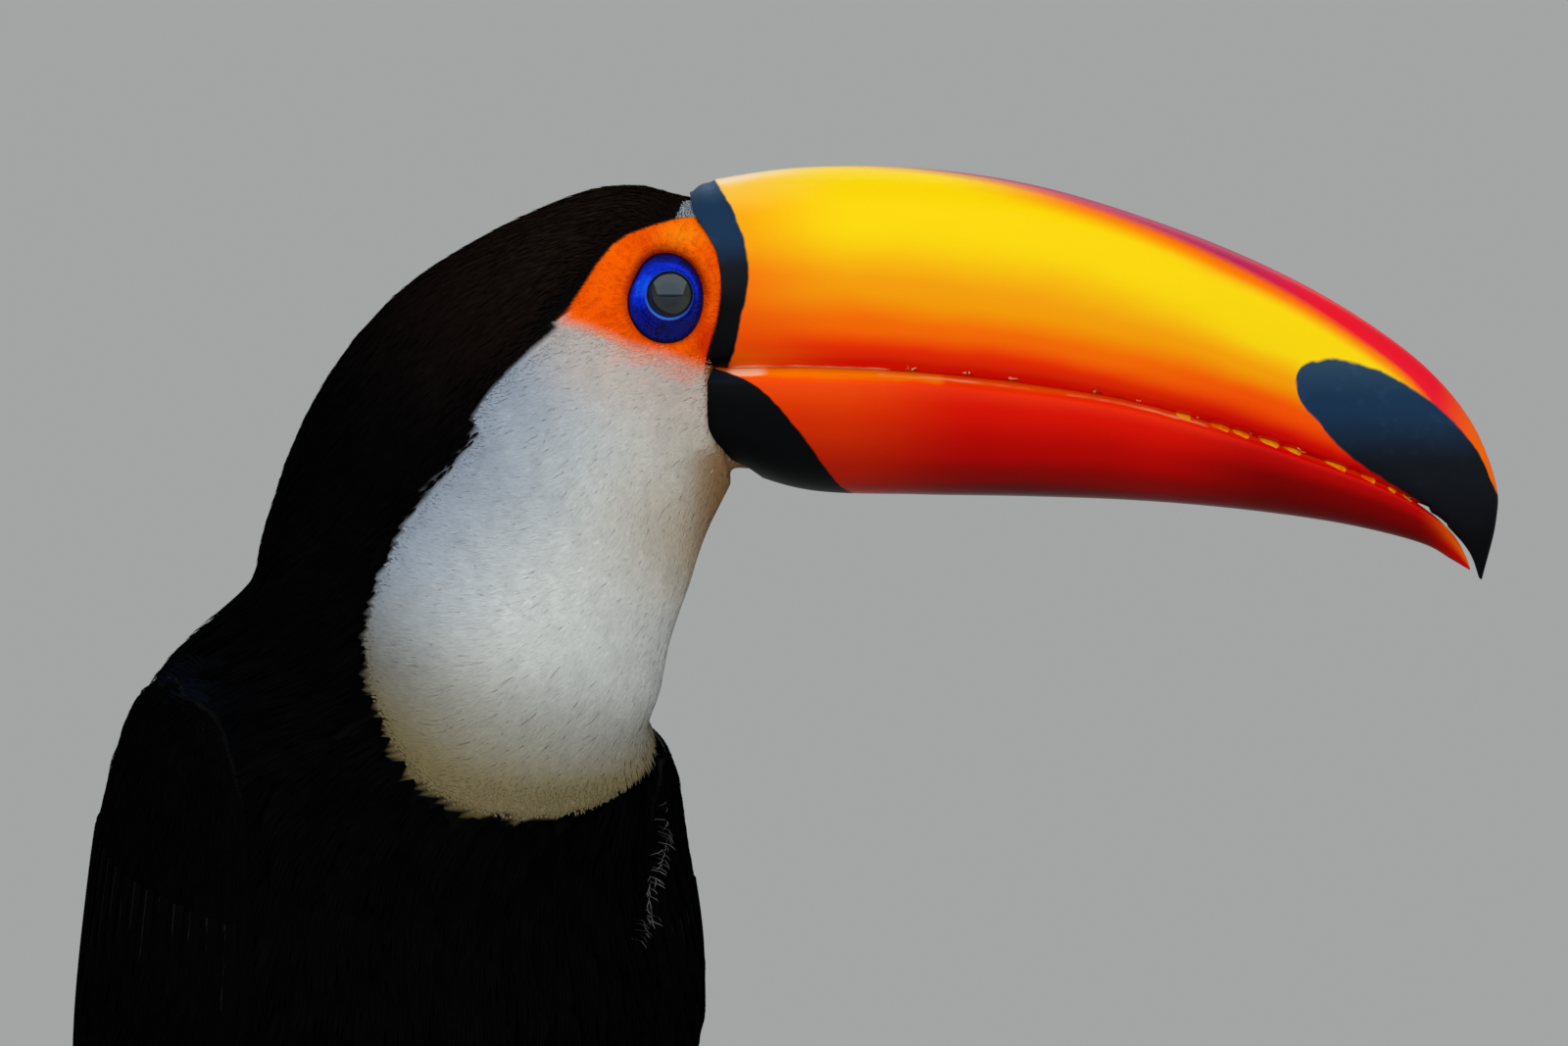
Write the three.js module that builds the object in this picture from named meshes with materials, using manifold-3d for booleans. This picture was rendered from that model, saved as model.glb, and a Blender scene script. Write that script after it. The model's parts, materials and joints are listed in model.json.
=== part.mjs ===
// A toco toucan, life size. It stands with its breast to the viewer and its head turned to its left,
// so that the bill points along +X in profile. Millimetres, +Z up.
// The body, the bill, the legs and the toes are lofts through named stations; thin cuts part them.
import * as THREE from 'three';
import { mergeVertices } from 'three/addons/utils/BufferGeometryUtils.js';
import Module from 'manifold-3d';

const wasm = await Module();
wasm.setup();

// ---- Driving dimensions ----
const eyeHeight = 290;        // floor to the middle of the eye
const gap = 0.35;             // clearance between neighbouring solids
const bodyTurn = 18;          // degrees from -Y towards +X that the breast faces
const trunkPlace = [-57, 15]; // the trunk's axis in plan, from the eye and the head's midplane
const eyeballRadius = 8.2;
const eyeSpacing = 34;        // between the centres of the two eyeballs
const eyeOpening = 5.1;       // radius of the round opening between the lids
const lidRing = { halfWidth: 8.4, halfHeight: 9.7, thick: 2.6, crest: 1.3, lean: [0.2, 0.1] };
const wingSunk = 3.2;         // how deep a folded wing's inner face lies in the flank
const footSpacing = 46;
const footCentre = { forward: -14, left: 11 };
const shank = { back: 24, heelHeight: 51, radius: 3.3, foot: 5 };
const claw = { length: 13, radius: 2.3, tall: 1.25 };
const toeBend = 5;            // degrees that a toe turns towards the foot's middle line along its length
const soleCut = 0.9;          // how much of a toe's round underside its flat sole takes off
const tail = { length: 150, pitch: 24, rootForward: -150, rootHeight: -217, feathers: 10 };
const rectrix = {
  halfWidth: 14, thick: 1.4, fan: 1.15, step: 2.6, shorter: 1.6,
  layer: 0.5,   // how much lower each feather lies than its inner neighbour
  offset: 0.22, // and a left one than a right one
};

const radians = THREE.MathUtils.degToRad;
const lerp = THREE.MathUtils.lerp;

// ---- Geometry to solid and back ----
function solidOf(geometry) {
  const bare = new THREE.BufferGeometry();
  bare.setAttribute('position', geometry.getAttribute('position').clone());
  if (geometry.index) bare.setIndex(geometry.index.clone());
  const merged = mergeVertices(bare, 1e-3);
  const corners = new Uint32Array(merged.index.array);
  const make = () => new wasm.Manifold(new wasm.Mesh({
    numProp: 3,
    vertProperties: new Float32Array(merged.attributes.position.array),
    triVerts: corners,
  }));
  const solid = make();
  if (solid.volume() > 0) return solid;
  for (let i = 0; i < corners.length; i += 3) {
    [corners[i], corners[i + 1]] = [corners[i + 1], corners[i]];
  }
  return make();
}

function geometryOf(solid) {
  const mesh = solid.getMesh();
  const geometry = new THREE.BufferGeometry();
  geometry.setAttribute('position', new THREE.BufferAttribute(mesh.vertProperties, 3));
  geometry.setIndex(new THREE.BufferAttribute(mesh.triVerts, 1));
  geometry.computeVertexNormals();
  return geometry;
}

// ---- Upright frames: an origin in plan and a heading, in degrees from -Y towards +X ----
const headFrame = { x: 0, y: 0, turn: 90 };
const trunkFrame = { x: trunkPlace[0], y: trunkPlace[1], turn: bodyTurn };

function forwardOf(frame) {
  return new THREE.Vector3(Math.sin(radians(frame.turn)), -Math.cos(radians(frame.turn)), 0);
}

function leftOf(frame) {
  const forward = forwardOf(frame);
  return new THREE.Vector3(-forward.y, forward.x, 0);
}

// A point of a frame, by its distance forward and left and its height over the eye.
function placed(frame, forward, left, height) {
  return new THREE.Vector3(frame.x, frame.y, eyeHeight + height)
    .addScaledVector(forwardOf(frame), forward)
    .addScaledVector(leftOf(frame), left);
}

// ---- Lofts ----
// A station has a back point and a front point, [forward, height], and a half width. Its form is how
// square the section is at the back and at the front, and where between them (-1 to 1) it is widest.
function makeLoft(stations) {
  const through = (read) => new THREE.CatmullRomCurve3(stations.map(read), false, 'catmullrom', 0.5);
  return {
    back: through((s) => placed(s.frame, s.back[0], 0, s.back[1])),
    front: through((s) => placed(s.frame, s.front[0], 0, s.front[1])),
    half: through((s) => leftOf(s.frame).multiplyScalar(s.half)),
    form: through((s) => new THREE.Vector3(...(s.form || [2, 2, 0]))),
    last: stations.length - 1,
  };
}

// The point of a loft at a station and an angle: 0 is the back, 90 degrees the left, 180 the front.
function loftPoint(loft, station, angle, share = 1) {
  const t = THREE.MathUtils.clamp(station / loft.last, 0, 1);
  const back = loft.back.getPoint(t);
  const front = loft.front.getPoint(t);
  const form = loft.form.getPoint(t);
  const c = -Math.cos(angle);
  const s = Math.sin(angle);
  const power = 2 / (c < 0 ? form.x : form.y);
  const depth = Math.sign(c) * Math.abs(c) ** power;
  const along = form.z + depth * (1 - Math.sign(c) * form.z);
  const width = Math.sign(s) * Math.abs(s) ** power;
  const middle = back.clone().add(front).multiplyScalar(0.5);
  const radius = front.clone().sub(back).multiplyScalar(0.5);
  middle.addScaledVector(radius, along * share);
  return middle.addScaledVector(loft.half.getPoint(t), width * share);
}

function loftNormal(loft, station, angle) {
  const step = 0.02;
  const lengthwise = loftPoint(loft, station + step, angle).sub(loftPoint(loft, station - step, angle));
  const roundwise = loftPoint(loft, station, angle + step).sub(loftPoint(loft, station, angle - step));
  return roundwise.cross(lengthwise).normalize();
}

// A closed grid of quads, remapped from a sphere whose two poles are the middles of the ends.
// pointAt gets the way along (0 to 1), the angle, and the share of the radius (0 at the poles).
function closedGrid(around, along, pointAt) {
  const rings = along + 2;
  const ball = new THREE.SphereGeometry(1, around, rings);
  const at = ball.getAttribute('position');
  for (let i = 0; i < at.count; i += 1) {
    const ring = Math.floor(i / (around + 1));
    const angle = (-2 * Math.PI * ((i % (around + 1)) % around)) / around;
    const share = Math.min(1, ring, rings - ring);
    const way = THREE.MathUtils.clamp((ring - 1) / along, 0, 1);
    at.setXYZ(i, ...pointAt(way, angle, share).toArray());
  }
  return solidOf(ball);
}

function loftSolid(loft, around, along) {
  return closedGrid(around, along, (way, angle, share) => loftPoint(loft, way * loft.last, angle, share));
}

// ---- The seam between the face and the bill: x over height, in the head's frame ----
const seam = new THREE.SplineCurve([
  [3.9, 29], [4.4, 23], [6, 17], [9.9, 10], [11, 3], [10.2, -5], [8, -13], [7.2, -20],
  [8, -28], [10, -34.2], [15.6, -38], [20, -40.5],
].map(([x, height]) => new THREE.Vector2(x, height + eyeHeight)));

// The space behind the seam (-1) or in front of it (1), half a gap clear of it.
function besideSeam(way) {
  const edge = seam.getPoints(24).map((p) => new THREE.Vector2(p.x + way * gap * 0.7, p.y));
  const [top, bottom, far] = [edge[0].x, edge.at(-1).x, way * 400];
  const corners = [[bottom, 0], [far, 0], [far, 2 * eyeHeight], [top, 2 * eyeHeight]];
  const outline = new THREE.Shape([...edge, ...corners.map(([x, height]) => new THREE.Vector2(x, height))]);
  const block = new THREE.ExtrudeGeometry(outline, { depth: 200, bevelEnabled: false });
  return solidOf(block.translate(0, 0, -100).rotateX(Math.PI / 2));
}

// ---- The body: one loft from the face to the root of the tail ----
const bodyStations = [
  { at: 'snout', frame: headFrame, back: [22, 20.5], front: [30, -41], half: 21, form: [2.5, 2.2, 0] },
  { at: 'face', frame: headFrame, back: [4.4, 21.8], front: [15, -38], half: 22.4, form: [2.5, 2.2, 0] },
  { at: 'brow', frame: headFrame,
    back: [-7.3, 24.4], front: [13.2, -41.8], half: 24.6, form: [2.4, 2.1, 0] },
  { at: 'crown', frame: headFrame, back: [-20.3, 22.6], front: [11, -46.1], half: 27, form: [2.3, 2, 0] },
  { at: 'back of the head', frame: headFrame,
    back: [-40.4, 13.7], front: [8.6, -51], half: 30.8, form: [2.2, 2, 0] },
  { at: 'nape', frame: headFrame, back: [-59.6, 1.2], front: [6.3, -57], half: 34 },
  { at: 'upper neck', frame: headFrame, back: [-74.9, -16.6], front: [3.8, -65], half: 36.5 },
  { at: 'neck', frame: { x: -41.3, y: 0.5, turn: 78 },
    back: [-43.6, -35.6], front: [42, -74.4], half: 39.5 },
  { at: 'lower neck', frame: { x: -44.9, y: 3, turn: 62 },
    back: [-44.6, -49.5], front: [42.2, -88.5], half: 46 },
  { at: 'neck base', frame: { x: -50.2, y: 7, turn: 46 },
    back: [-42, -60], front: [43.7, -101], half: 47 },
  { at: 'shoulders', frame: { x: -57.5, y: 14, turn: 31 },
    back: [-54.4, -75], front: [54.4, -113], half: 57 },
  { at: 'breast', frame: { x: -60.4, y: 20, turn: 21 },
    back: [-58.6, -91], front: [58.6, -137], half: 60.6 },
  { at: 'wings', frame: trunkFrame, back: [-84, -121], front: [56.5, -170], half: 63.5 },
  { at: 'belly', frame: trunkFrame, back: [-101, -148], front: [42, -203], half: 61 },
  { at: 'flanks', frame: trunkFrame, back: [-116, -170], front: [12, -226], half: 54 },
  { at: 'rump', frame: trunkFrame, back: [-132, -188], front: [-36, -234], half: 42 },
  { at: 'vent', frame: trunkFrame, back: [-148, -202], front: [-88, -230], half: 29 },
  { at: 'tail root', frame: trunkFrame, back: [-170, -213.5], front: [-138, -232], half: 21 },
  { at: 'coverts', frame: trunkFrame, back: [-211, -239], front: [-206, -248], half: 15 },
];
const bodyLoft = makeLoft(bodyStations);
const stationOf = (name) => bodyStations.findIndex((s) => s.at === name);

// A box that holds everything beyond the plane of a station, towards the tail (1) or the head (-1).
function beyond(station, way) {
  const size = 700; // longer than the whole bird
  const half = loftPoint(bodyLoft, station, radians(90)).sub(loftPoint(bodyLoft, station, radians(270)));
  const depth = loftPoint(bodyLoft, station, radians(180)).sub(loftPoint(bodyLoft, station, 0));
  const onward = depth.clone().cross(half).normalize();
  const middle = loftPoint(bodyLoft, station, 0, 0);
  if (onward.dot(loftPoint(bodyLoft, station + 0.3, 0, 0).sub(middle)) < 0) onward.negate();
  const box = new THREE.BoxGeometry(size, size, size).deleteAttribute('normal').deleteAttribute('uv');
  box.applyQuaternion(new THREE.Quaternion().setFromUnitVectors(new THREE.Vector3(0, 0, 1), onward));
  const shift = middle.addScaledVector(onward, way * (size / 2 + gap / 2));
  return solidOf(box.translate(shift.x, shift.y, shift.z));
}

// ---- A folded wing: a lens on the flank, from the wrist to the tip of the primaries ----
// from and to are body stations; middle and spread are degrees round the body, by the share of the
// wing's length; blunt is how square its ends are.
const wing = {
  from: 9.7,
  to: 16.6,
  blunt: 2.4,
  middle: (s) => 97 - 12 * s - 55 * s ** 3,
  spread: (s) => 46 - 18 * s ** 1.5 - 18 * s ** 4,
  proud: (s) => 6.2 - 2.4 * s,
};

// How far a station's own frame is turned from the trunk's, in radians.
function twistAt(station) {
  const left = bodyLoft.half.getPoint(station / bodyLoft.last);
  return Math.atan2(left.y, left.x) - radians(bodyTurn);
}

function makeWing(side, grow) {
  return closedGrid(14, 10, (way, angle, share) => {
    const p = 1 - 2 * (share < 1 ? Math.round(way) : lerp(0.012, 0.988, way)); // 1 at the wrist
    const end = (1 - Math.abs(p) ** wing.blunt) ** (1 / wing.blunt);
    const s = (1 - p) / 2;
    const station = lerp(wing.from, wing.to, s) - Math.sign(p) * grow * 0.04;
    const across = Math.sin(angle) * end * (wing.spread(s) + 2 * grow);
    const around = radians(side * (wing.middle(s) + across)) + twistAt(station);
    const face = Math.sign(Math.cos(angle)) * Math.abs(Math.cos(angle)) ** 0.7 * end;
    const lift = face * ((face > 0 ? wing.proud(s) : wingSunk) + grow);
    const outward = loftNormal(bodyLoft, station, around);
    return loftPoint(bodyLoft, station, around).addScaledVector(outward, lift);
  });
}

// ---- The bill ----
// Each station: a point of the culmen, a point of the cutting edge, and the half width.
const upperStations = [
  [[-6, 22.5], [-8, -16.8], 21], [[10, 25.7], [10, -16.8], 21.6], [[29.4, 28.3], [30, -16.5], 21.4],
  [[55, 28.1], [55, -17.6], 20.4], [[81, 24.2], [78, -20], 18.8], [[107, 16.4], [100.7, -23.7], 16.6],
  [[130, 7.2], [122.3, -29.5], 14], [[149, -2.9], [142, -36], 11.3], [[165.5, -14.8], [157, -41.8], 8.6],
  [[176.3, -27.3], [167.5, -47.6], 6.2], [[181.9, -40.8], [173, -52.6], 4],
  [[182, -50], [176.4, -57], 2.4], [[178.9, -62.6], [178.3, -62.2], 0.7],
];
const lowerStations = [
  [[-8, -16.8], [2, -33], 19.6], [[10, -16.8], [17, -39], 20.4], [[30, -16.5], [32, -43], 19.9],
  [[55, -17.6], [55, -43.8], 18.6], [[78, -20], [78, -44.2], 17], [[100.7, -23.7], [100.7, -45], 14.8],
  [[122.3, -29.5], [122.3, -46.7], 12.2], [[142, -36], [142, -49.2], 9.4],
  [[157, -41.8], [156, -51.9], 6.9], [[167.3, -47.6], [166.5, -54.9], 4.6], [[172.6, -52.6], [172, -58], 2.8],
  [[175.3, -57.2], [174.9, -59.7], 1.5], [[176.3, -60], [176.3, -60.5], 0.5],
];
const billDrop = gap * 1.4; // between the two cutting edges
const upperLoft = makeLoft(upperStations.map(([back, front, half]) => (
  { frame: headFrame, back, front, half, form: [2.15, 5, 0.3] })));
const lowerLoft = makeLoft(lowerStations.map(([back, front, half]) => (
  { frame: headFrame, back: [back[0], back[1] - billDrop], front, half, form: [5, 1.8, -0.55] })));

// ---- The eyes and their lids ----
function eyeCentre(side) {
  return placed(headFrame, 0, (side * eyeSpacing) / 2, 0);
}

function makeEye(side, grow) {
  const c = eyeCentre(side);
  const ball = new THREE.SphereGeometry(eyeballRadius + grow, 12, 8);
  return solidOf(ball.translate(c.x, c.y, c.z));
}

// A flat oval pad of skin round the eye, with rounded edges, leaning back and up with the face.
function makeLids(side, grow) {
  const c = eyeCentre(side);
  const crest = Math.sqrt(eyeballRadius ** 2 - eyeOpening ** 2) + lidRing.crest + grow;
  const rounding = 0.14;
  return closedGrid(16, 3, (way, angle, share) => {
    const onRim = share < 1 ? 0 : 1 - rounding * (1 - Math.min(1, way * 3, (1 - way) * 3));
    const across = Math.cos(angle) * (lidRing.halfWidth + grow) * onRim;
    const up = Math.sin(angle) * (lidRing.halfHeight + grow) * onRim;
    const lean = across * lidRing.lean[0] + up * lidRing.lean[1];
    const out = crest - way * (lidRing.thick + grow) - lean;
    return new THREE.Vector3(c.x + across, c.y + side * out, c.z + up);
  });
}

// A round plug along Y that opens the lids over the eyeball, a little wider outwards.
function lidOpening(side) {
  const c = eyeCentre(side);
  const [depth, flare] = [12, 0.9];
  const plug = new THREE.CylinderGeometry(eyeOpening, eyeOpening - flare, depth, 16);
  plug.rotateX(side > 0 ? 0 : Math.PI);
  return solidOf(plug.translate(c.x, c.y + side * (eyeballRadius + depth / 6), c.z));
}

// ---- The legs ----
// A tapered tube through points [forward, left, height over the floor, radius, height over width] of
// the trunk's frame. One with a sole lies flat on the floor and doesn't reach below it.
function tube(points, around, along, grow = 0, sole = false) {
  const to3d = ([forward, left, height]) => placed(trunkFrame, forward, left, height - eyeHeight);
  const path = new THREE.CatmullRomCurve3(points.map(to3d), false, 'catmullrom', 0.5);
  const sizes = new THREE.CatmullRomCurve3(points.map((p) => new THREE.Vector3(p[3], p[4] || 1, 0)));
  const turned = sole ? Math.PI / around : 0; // a flat side down, not a corner
  const endBulge = 0.45;
  return closedGrid(around, along, (way, corner, share) => {
    const angle = corner + turned;
    const tangent = path.getTangent(way);
    const sideways = new THREE.Vector3(0, 0, 1).cross(tangent).normalize();
    const upward = tangent.clone().cross(sideways);
    const { x: radius, y: tall } = sizes.getPoint(way);
    const reach = (radius + grow) * share;
    const beyondEnd = Math.sign(way - 0.5) * (1 - share) * (radius * endBulge + grow);
    const p = path.getPoint(way).addScaledVector(tangent, beyondEnd)
      .addScaledVector(sideways, Math.sin(angle) * reach)
      .addScaledVector(upward, Math.cos(angle) * reach * tall);
    if (sole) p.z = Math.max(p.z, -grow);
    return p;
  });
}

const toes = [
  { digit: 3, heading: 10, length: 41, radius: 3.6 },
  { digit: 2, heading: -24, length: 31, radius: 3.4 },
  { digit: 4, heading: 154, length: 36, radius: 3.4 },
  { digit: 1, heading: -142, length: 21, radius: 3.2 },
];

function footOf(side) {
  return [footCentre.forward, footCentre.left + (side * footSpacing) / 2];
}

function heelOf(side) {
  const [forward, left] = footOf(side);
  return [forward - shank.back, left - 3, shank.heelHeight];
}

function makeThigh(side, grow) {
  const [forward, left, height] = heelOf(side);
  return tube([
    [forward + 30, left - 3, height + 56, 20], [forward + 20, left - 1, height + 36, 19],
    [forward + 9, left, height + 15, 14], [forward + 1.5, left, height + 3, 7],
  ], 11, 6, grow);
}

function makeShank(side, grow) {
  const [forward, left] = footOf(side);
  const heel = heelOf(side);
  return tube([
    [heel[0] - 0.5, heel[1], heel[2] + 2.4, 3.9], [heel[0] + 1.5, heel[1], heel[2] - 5, 4],
    [forward - 16.5, lerp(left, heel[1], 0.7), 34, shank.radius],
    [forward - 9, lerp(left, heel[1], 0.4), 20, shank.radius],
    [forward - 1.5, left, shank.foot, shank.foot - 0.3],
  ], 9, 8, grow, true);
}

// A toe lies along the floor from the foot's middle; its joints are a little thicker.
function toePoints(side, toe) {
  const [forward, left] = footOf(side);
  const points = [];
  const steps = 6;
  for (let i = 0; i <= steps; i += 1) {
    const s = lerp(0.06, 1, i / steps);
    const bend = radians(toe.heading - Math.sign(toe.heading) * toeBend * s);
    const radius = toe.radius * (1 - 0.2 * s + 0.07 * Math.cos(s * 6 * Math.PI));
    const reach = s * toe.length;
    const [onward, outward] = [Math.cos(bend) * reach, side * Math.sin(bend) * reach];
    points.push([forward + onward, left + outward, radius - soleCut, radius]);
  }
  return points;
}

function makeToe(side, toe, grow) {
  return tube(toePoints(side, toe), 6, 5, grow, true);
}

// A claw curves down from the toe's end until its point almost meets the floor.
function makeClaw(side, toe) {
  const [forward, left] = footOf(side);
  const way = radians(toe.heading - Math.sign(toe.heading) * toeBend);
  const points = [];
  for (const s of [-0.22, 0, 0.3, 0.6, 0.85, 1]) {
    const bare = Math.max(0, s);
    const reach = toe.length + claw.length * (0.06 + 0.78 * Math.sin(s * 1.35));
    const height = 3.6 + 1.5 * Math.sin(s * 3) - 3.9 * bare ** 2.4;
    const radius = Math.max(0.28, claw.radius * 0.8 * (1 - bare ** 1.3));
    const [onward, outward] = [Math.cos(way) * reach, side * Math.sin(way) * reach];
    points.push([forward + onward, left + outward, height, radius, claw.tall]);
  }
  return tube(points, 5, 4, 0, true);
}

// ---- The tail: flat feathers in a narrow fan, the middle pair on top ----
function feather(i, grow) {
  const fromMiddle = Math.abs(i - (tail.feathers - 1) / 2) - 0.5;
  const side = Math.sign(i - (tail.feathers - 1) / 2);
  const half = rectrix.halfWidth + grow;
  const length = tail.length - rectrix.shorter * fromMiddle ** 1.5 + grow;
  const outline = new THREE.Shape();
  outline.moveTo(-grow, -half * 0.5);
  outline.lineTo(length * 0.45, -half);
  outline.lineTo(length - half * 0.9, -half);
  outline.bezierCurveTo(length, -half, length, half, length - half * 0.9, half);
  outline.lineTo(length * 0.45, half);
  outline.lineTo(-grow, half * 0.5);
  const thick = rectrix.thick + 2 * grow;
  const slab = new THREE.ExtrudeGeometry(outline, { depth: thick, bevelEnabled: false, curveSegments: 4 });
  slab.translate(0, 0, -thick / 2 - fromMiddle * rectrix.layer - (side > 0 ? rectrix.offset : 0));
  slab.rotateX(radians(-side * (2 + 1.2 * fromMiddle)));
  slab.rotateZ(radians(side * rectrix.fan * (fromMiddle + 0.4)));
  slab.translate(0, side * rectrix.step * (fromMiddle + 0.5), 0);
  slab.rotateY(radians(tail.pitch));
  slab.rotateZ(radians(bodyTurn + 90));
  const root = placed(trunkFrame, tail.rootForward, 0, tail.rootHeight);
  return solidOf(slab.translate(root.x, root.y, root.z));
}

function makeTail(grow) {
  let whole = feather(0, grow);
  for (let i = 1; i < tail.feathers; i += 1) whole = whole.add(feather(i, grow));
  return whole;
}

// ---- Putting it together ----
const sides = [['left', 1], ['right', -1]];
const cuts = { nape: stationOf('upper neck') - 0.4, shoulders: stationOf('neck base') + 0.3 };
const pocket = gap * 1.8; // coarse facets meet here, so the gap is wider
const solids = {};

let body = loftSolid(bodyLoft, 20, 34).subtract(makeTail(gap));
for (const [name, side] of sides) {
  const [eyeRoom, lidRoom] = [makeEye(side, gap), makeLids(side, gap)];
  solids[`eye_${name}`] = makeEye(side, 0);
  solids[`eyelids_${name}`] = makeLids(side, 0).subtract(eyeRoom).subtract(lidOpening(side));
  const [wingRoom, thighRoom] = [makeWing(side, pocket), makeThigh(side, pocket)];
  const shankRoom = makeShank(side, gap);
  solids[`wing_${name}`] = makeWing(side, 0);
  solids[`thigh_${name}`] = makeThigh(side, 0).subtract(shankRoom).subtract(wingRoom);
  solids[`shank_${name}`] = makeShank(side, 0);
  for (const room of [eyeRoom, lidRoom, wingRoom, thighRoom, shankRoom]) body = body.subtract(room);
  let taken = shankRoom;
  for (const toe of toes) {
    solids[`toe_${toe.digit}_${name}`] = makeToe(side, toe, 0).subtract(taken);
    taken = taken.add(makeToe(side, toe, gap));
    solids[`claw_${toe.digit}_${name}`] = makeClaw(side, toe).subtract(makeToe(side, toe, gap));
  }
}
solids.head = body.intersect(beyond(cuts.nape, -1)).intersect(besideSeam(-1));
solids.neck = body.intersect(beyond(cuts.nape, 1)).intersect(beyond(cuts.shoulders, -1));
solids.trunk = body.intersect(beyond(cuts.shoulders, 1));
solids.tail = makeTail(0);
solids.upper_bill = loftSolid(upperLoft, 18, 17).intersect(besideSeam(1));
solids.lower_bill = loftSolid(lowerLoft, 14, 17).intersect(besideSeam(1));

const finishes = [
  [/^upper_bill/, { color: 0xf7a600, roughness: 0.3 }],
  [/^lower_bill/, { color: 0xd8300f, roughness: 0.3 }],
  [/^eye_/, { color: 0x0b0907, roughness: 0.05 }],
  [/^eyelids/, { color: 0x1338b8, roughness: 0.45 }],
  [/^(shank|toe)/, { color: 0x5d7484, roughness: 0.6 }],
  [/^claw/, { color: 0x1a1817, roughness: 0.4 }],
  [/^/, { color: 0x0c0c0d, roughness: 0.75 }],
];

const bird = new THREE.Group();
for (const [name, solid] of Object.entries(solids)) {
  const finish = finishes.find(([pattern]) => pattern.test(name))[1];
  const material = new THREE.MeshStandardMaterial({ ...finish, metalness: 0 });
  const mesh = new THREE.Mesh(geometryOf(solid), material);
  mesh.name = name;
  bird.add(mesh);
}
const middle = new THREE.Box3().setFromObject(bird).getCenter(new THREE.Vector3());
bird.position.set(-middle.x, -middle.y, 0);

export default bird;
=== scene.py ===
import json
import math

import bmesh
import bpy
import numpy as np
from mathutils import Matrix, Vector
from mathutils.kdtree import KDTree

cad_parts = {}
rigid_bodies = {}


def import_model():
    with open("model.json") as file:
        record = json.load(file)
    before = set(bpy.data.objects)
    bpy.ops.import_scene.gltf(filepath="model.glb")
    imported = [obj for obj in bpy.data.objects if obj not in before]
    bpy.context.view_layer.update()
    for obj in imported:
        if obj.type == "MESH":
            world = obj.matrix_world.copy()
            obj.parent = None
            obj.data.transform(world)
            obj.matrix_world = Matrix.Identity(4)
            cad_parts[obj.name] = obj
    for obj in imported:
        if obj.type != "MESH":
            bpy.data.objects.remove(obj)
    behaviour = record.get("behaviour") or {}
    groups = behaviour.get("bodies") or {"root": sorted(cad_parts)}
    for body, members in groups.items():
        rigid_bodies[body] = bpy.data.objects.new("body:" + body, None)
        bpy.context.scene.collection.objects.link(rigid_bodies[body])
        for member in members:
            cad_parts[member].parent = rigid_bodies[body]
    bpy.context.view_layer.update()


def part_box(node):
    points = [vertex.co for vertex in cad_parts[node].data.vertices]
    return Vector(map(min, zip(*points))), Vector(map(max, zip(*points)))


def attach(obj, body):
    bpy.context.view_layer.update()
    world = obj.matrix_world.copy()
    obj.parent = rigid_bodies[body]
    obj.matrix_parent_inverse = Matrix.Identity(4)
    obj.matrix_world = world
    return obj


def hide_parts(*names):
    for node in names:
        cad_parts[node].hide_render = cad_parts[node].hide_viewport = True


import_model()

# A toco toucan: a smooth skin, a glossy bill, bare face skin, and feathers as mesh ribbons and vanes.
# Lengths in the dictionaries are millimetres from the middle of the eyes unless a note says otherwise.
mm = 0.001
eyeBoxes = [corner for side in ("left", "right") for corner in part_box("eye_" + side)]
eyeMiddle = sum(eyeBoxes, Vector()) / 4
floorDrop = -eyeMiddle.z / mm  # height of the floor
sides = {"left": 1, "right": -1}


def srgb(red, green, blue):  # screen colour to linear
    return [((c / 255 + 0.055) / 1.055) ** 2.4 if c > 10 else c / 255 / 12.92 for c in (red, green, blue)]


def smooth(low, high, value):  # 0 below low, 1 above high, soft between
    share = np.clip((value - low) / (high - low), 0, 1)
    return share * share * (3 - 2 * share)


def unit(vectors):
    return vectors / np.maximum(np.linalg.norm(vectors, axis=-1, keepdims=True), 1e-12)


def blend(first, second, share):  # of two colours, or arrays of them
    share = np.asarray(share, float)[:, None]
    return np.asarray(first, float) * (1 - share) + np.asarray(second, float) * share


def world(points):  # millimetres from the eyes to the frame's metres
    return points * mm + np.array(eyeMiddle)


def fromEyes(co):  # the way back
    return (co - np.array(eyeMiddle)) / mm


# Lofts: the same stations as the solids'. Each has a heading frame (x, y, degrees), a back point and a
# front point (forward, height), a half width, and the squareness of its section.

headFrame = (0, 0, 90)
trunkFrame = (-57, 15, 18)


def placed(frameOf, forward, left, height):
    turn = math.radians(frameOf[2])
    ahead = np.array([math.sin(turn), -math.cos(turn), 0])
    across = np.array([math.cos(turn), math.sin(turn), 0])
    return np.array([frameOf[0], frameOf[1], height]) + ahead * forward + across * left


def makeLoft(stations):
    return {
        "back": np.array([placed(f, back[0], 0, back[1]) for f, back, front, half, form in stations]),
        "front": np.array([placed(f, front[0], 0, front[1]) for f, back, front, half, form in stations]),
        "half": np.array([placed((0, 0, f[2]), 0, half, 0) for f, back, front, half, form in stations]),
        "form": np.array([form for f, back, front, half, form in stations], float),
        "last": len(stations) - 1,
    }


def through(points, at):  # a smooth curve through points, at counts them
    last = len(points) - 1
    low = np.clip(np.floor(at).astype(int), 0, last - 1)
    share = (np.clip(at, 0, last) - low)[..., None]
    ends = np.vstack([2 * points[0] - points[1], points, 2 * points[last] - points[last - 1]])
    before, start, end, after = (ends[low + i] for i in range(4))
    leave, arrive = (end - before) / 2, (after - start) / 2
    bend = end - start
    return (start + leave * share + (3 * bend - 2 * leave - arrive) * share**2
            + (leave + arrive - 2 * bend) * share**3)


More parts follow.
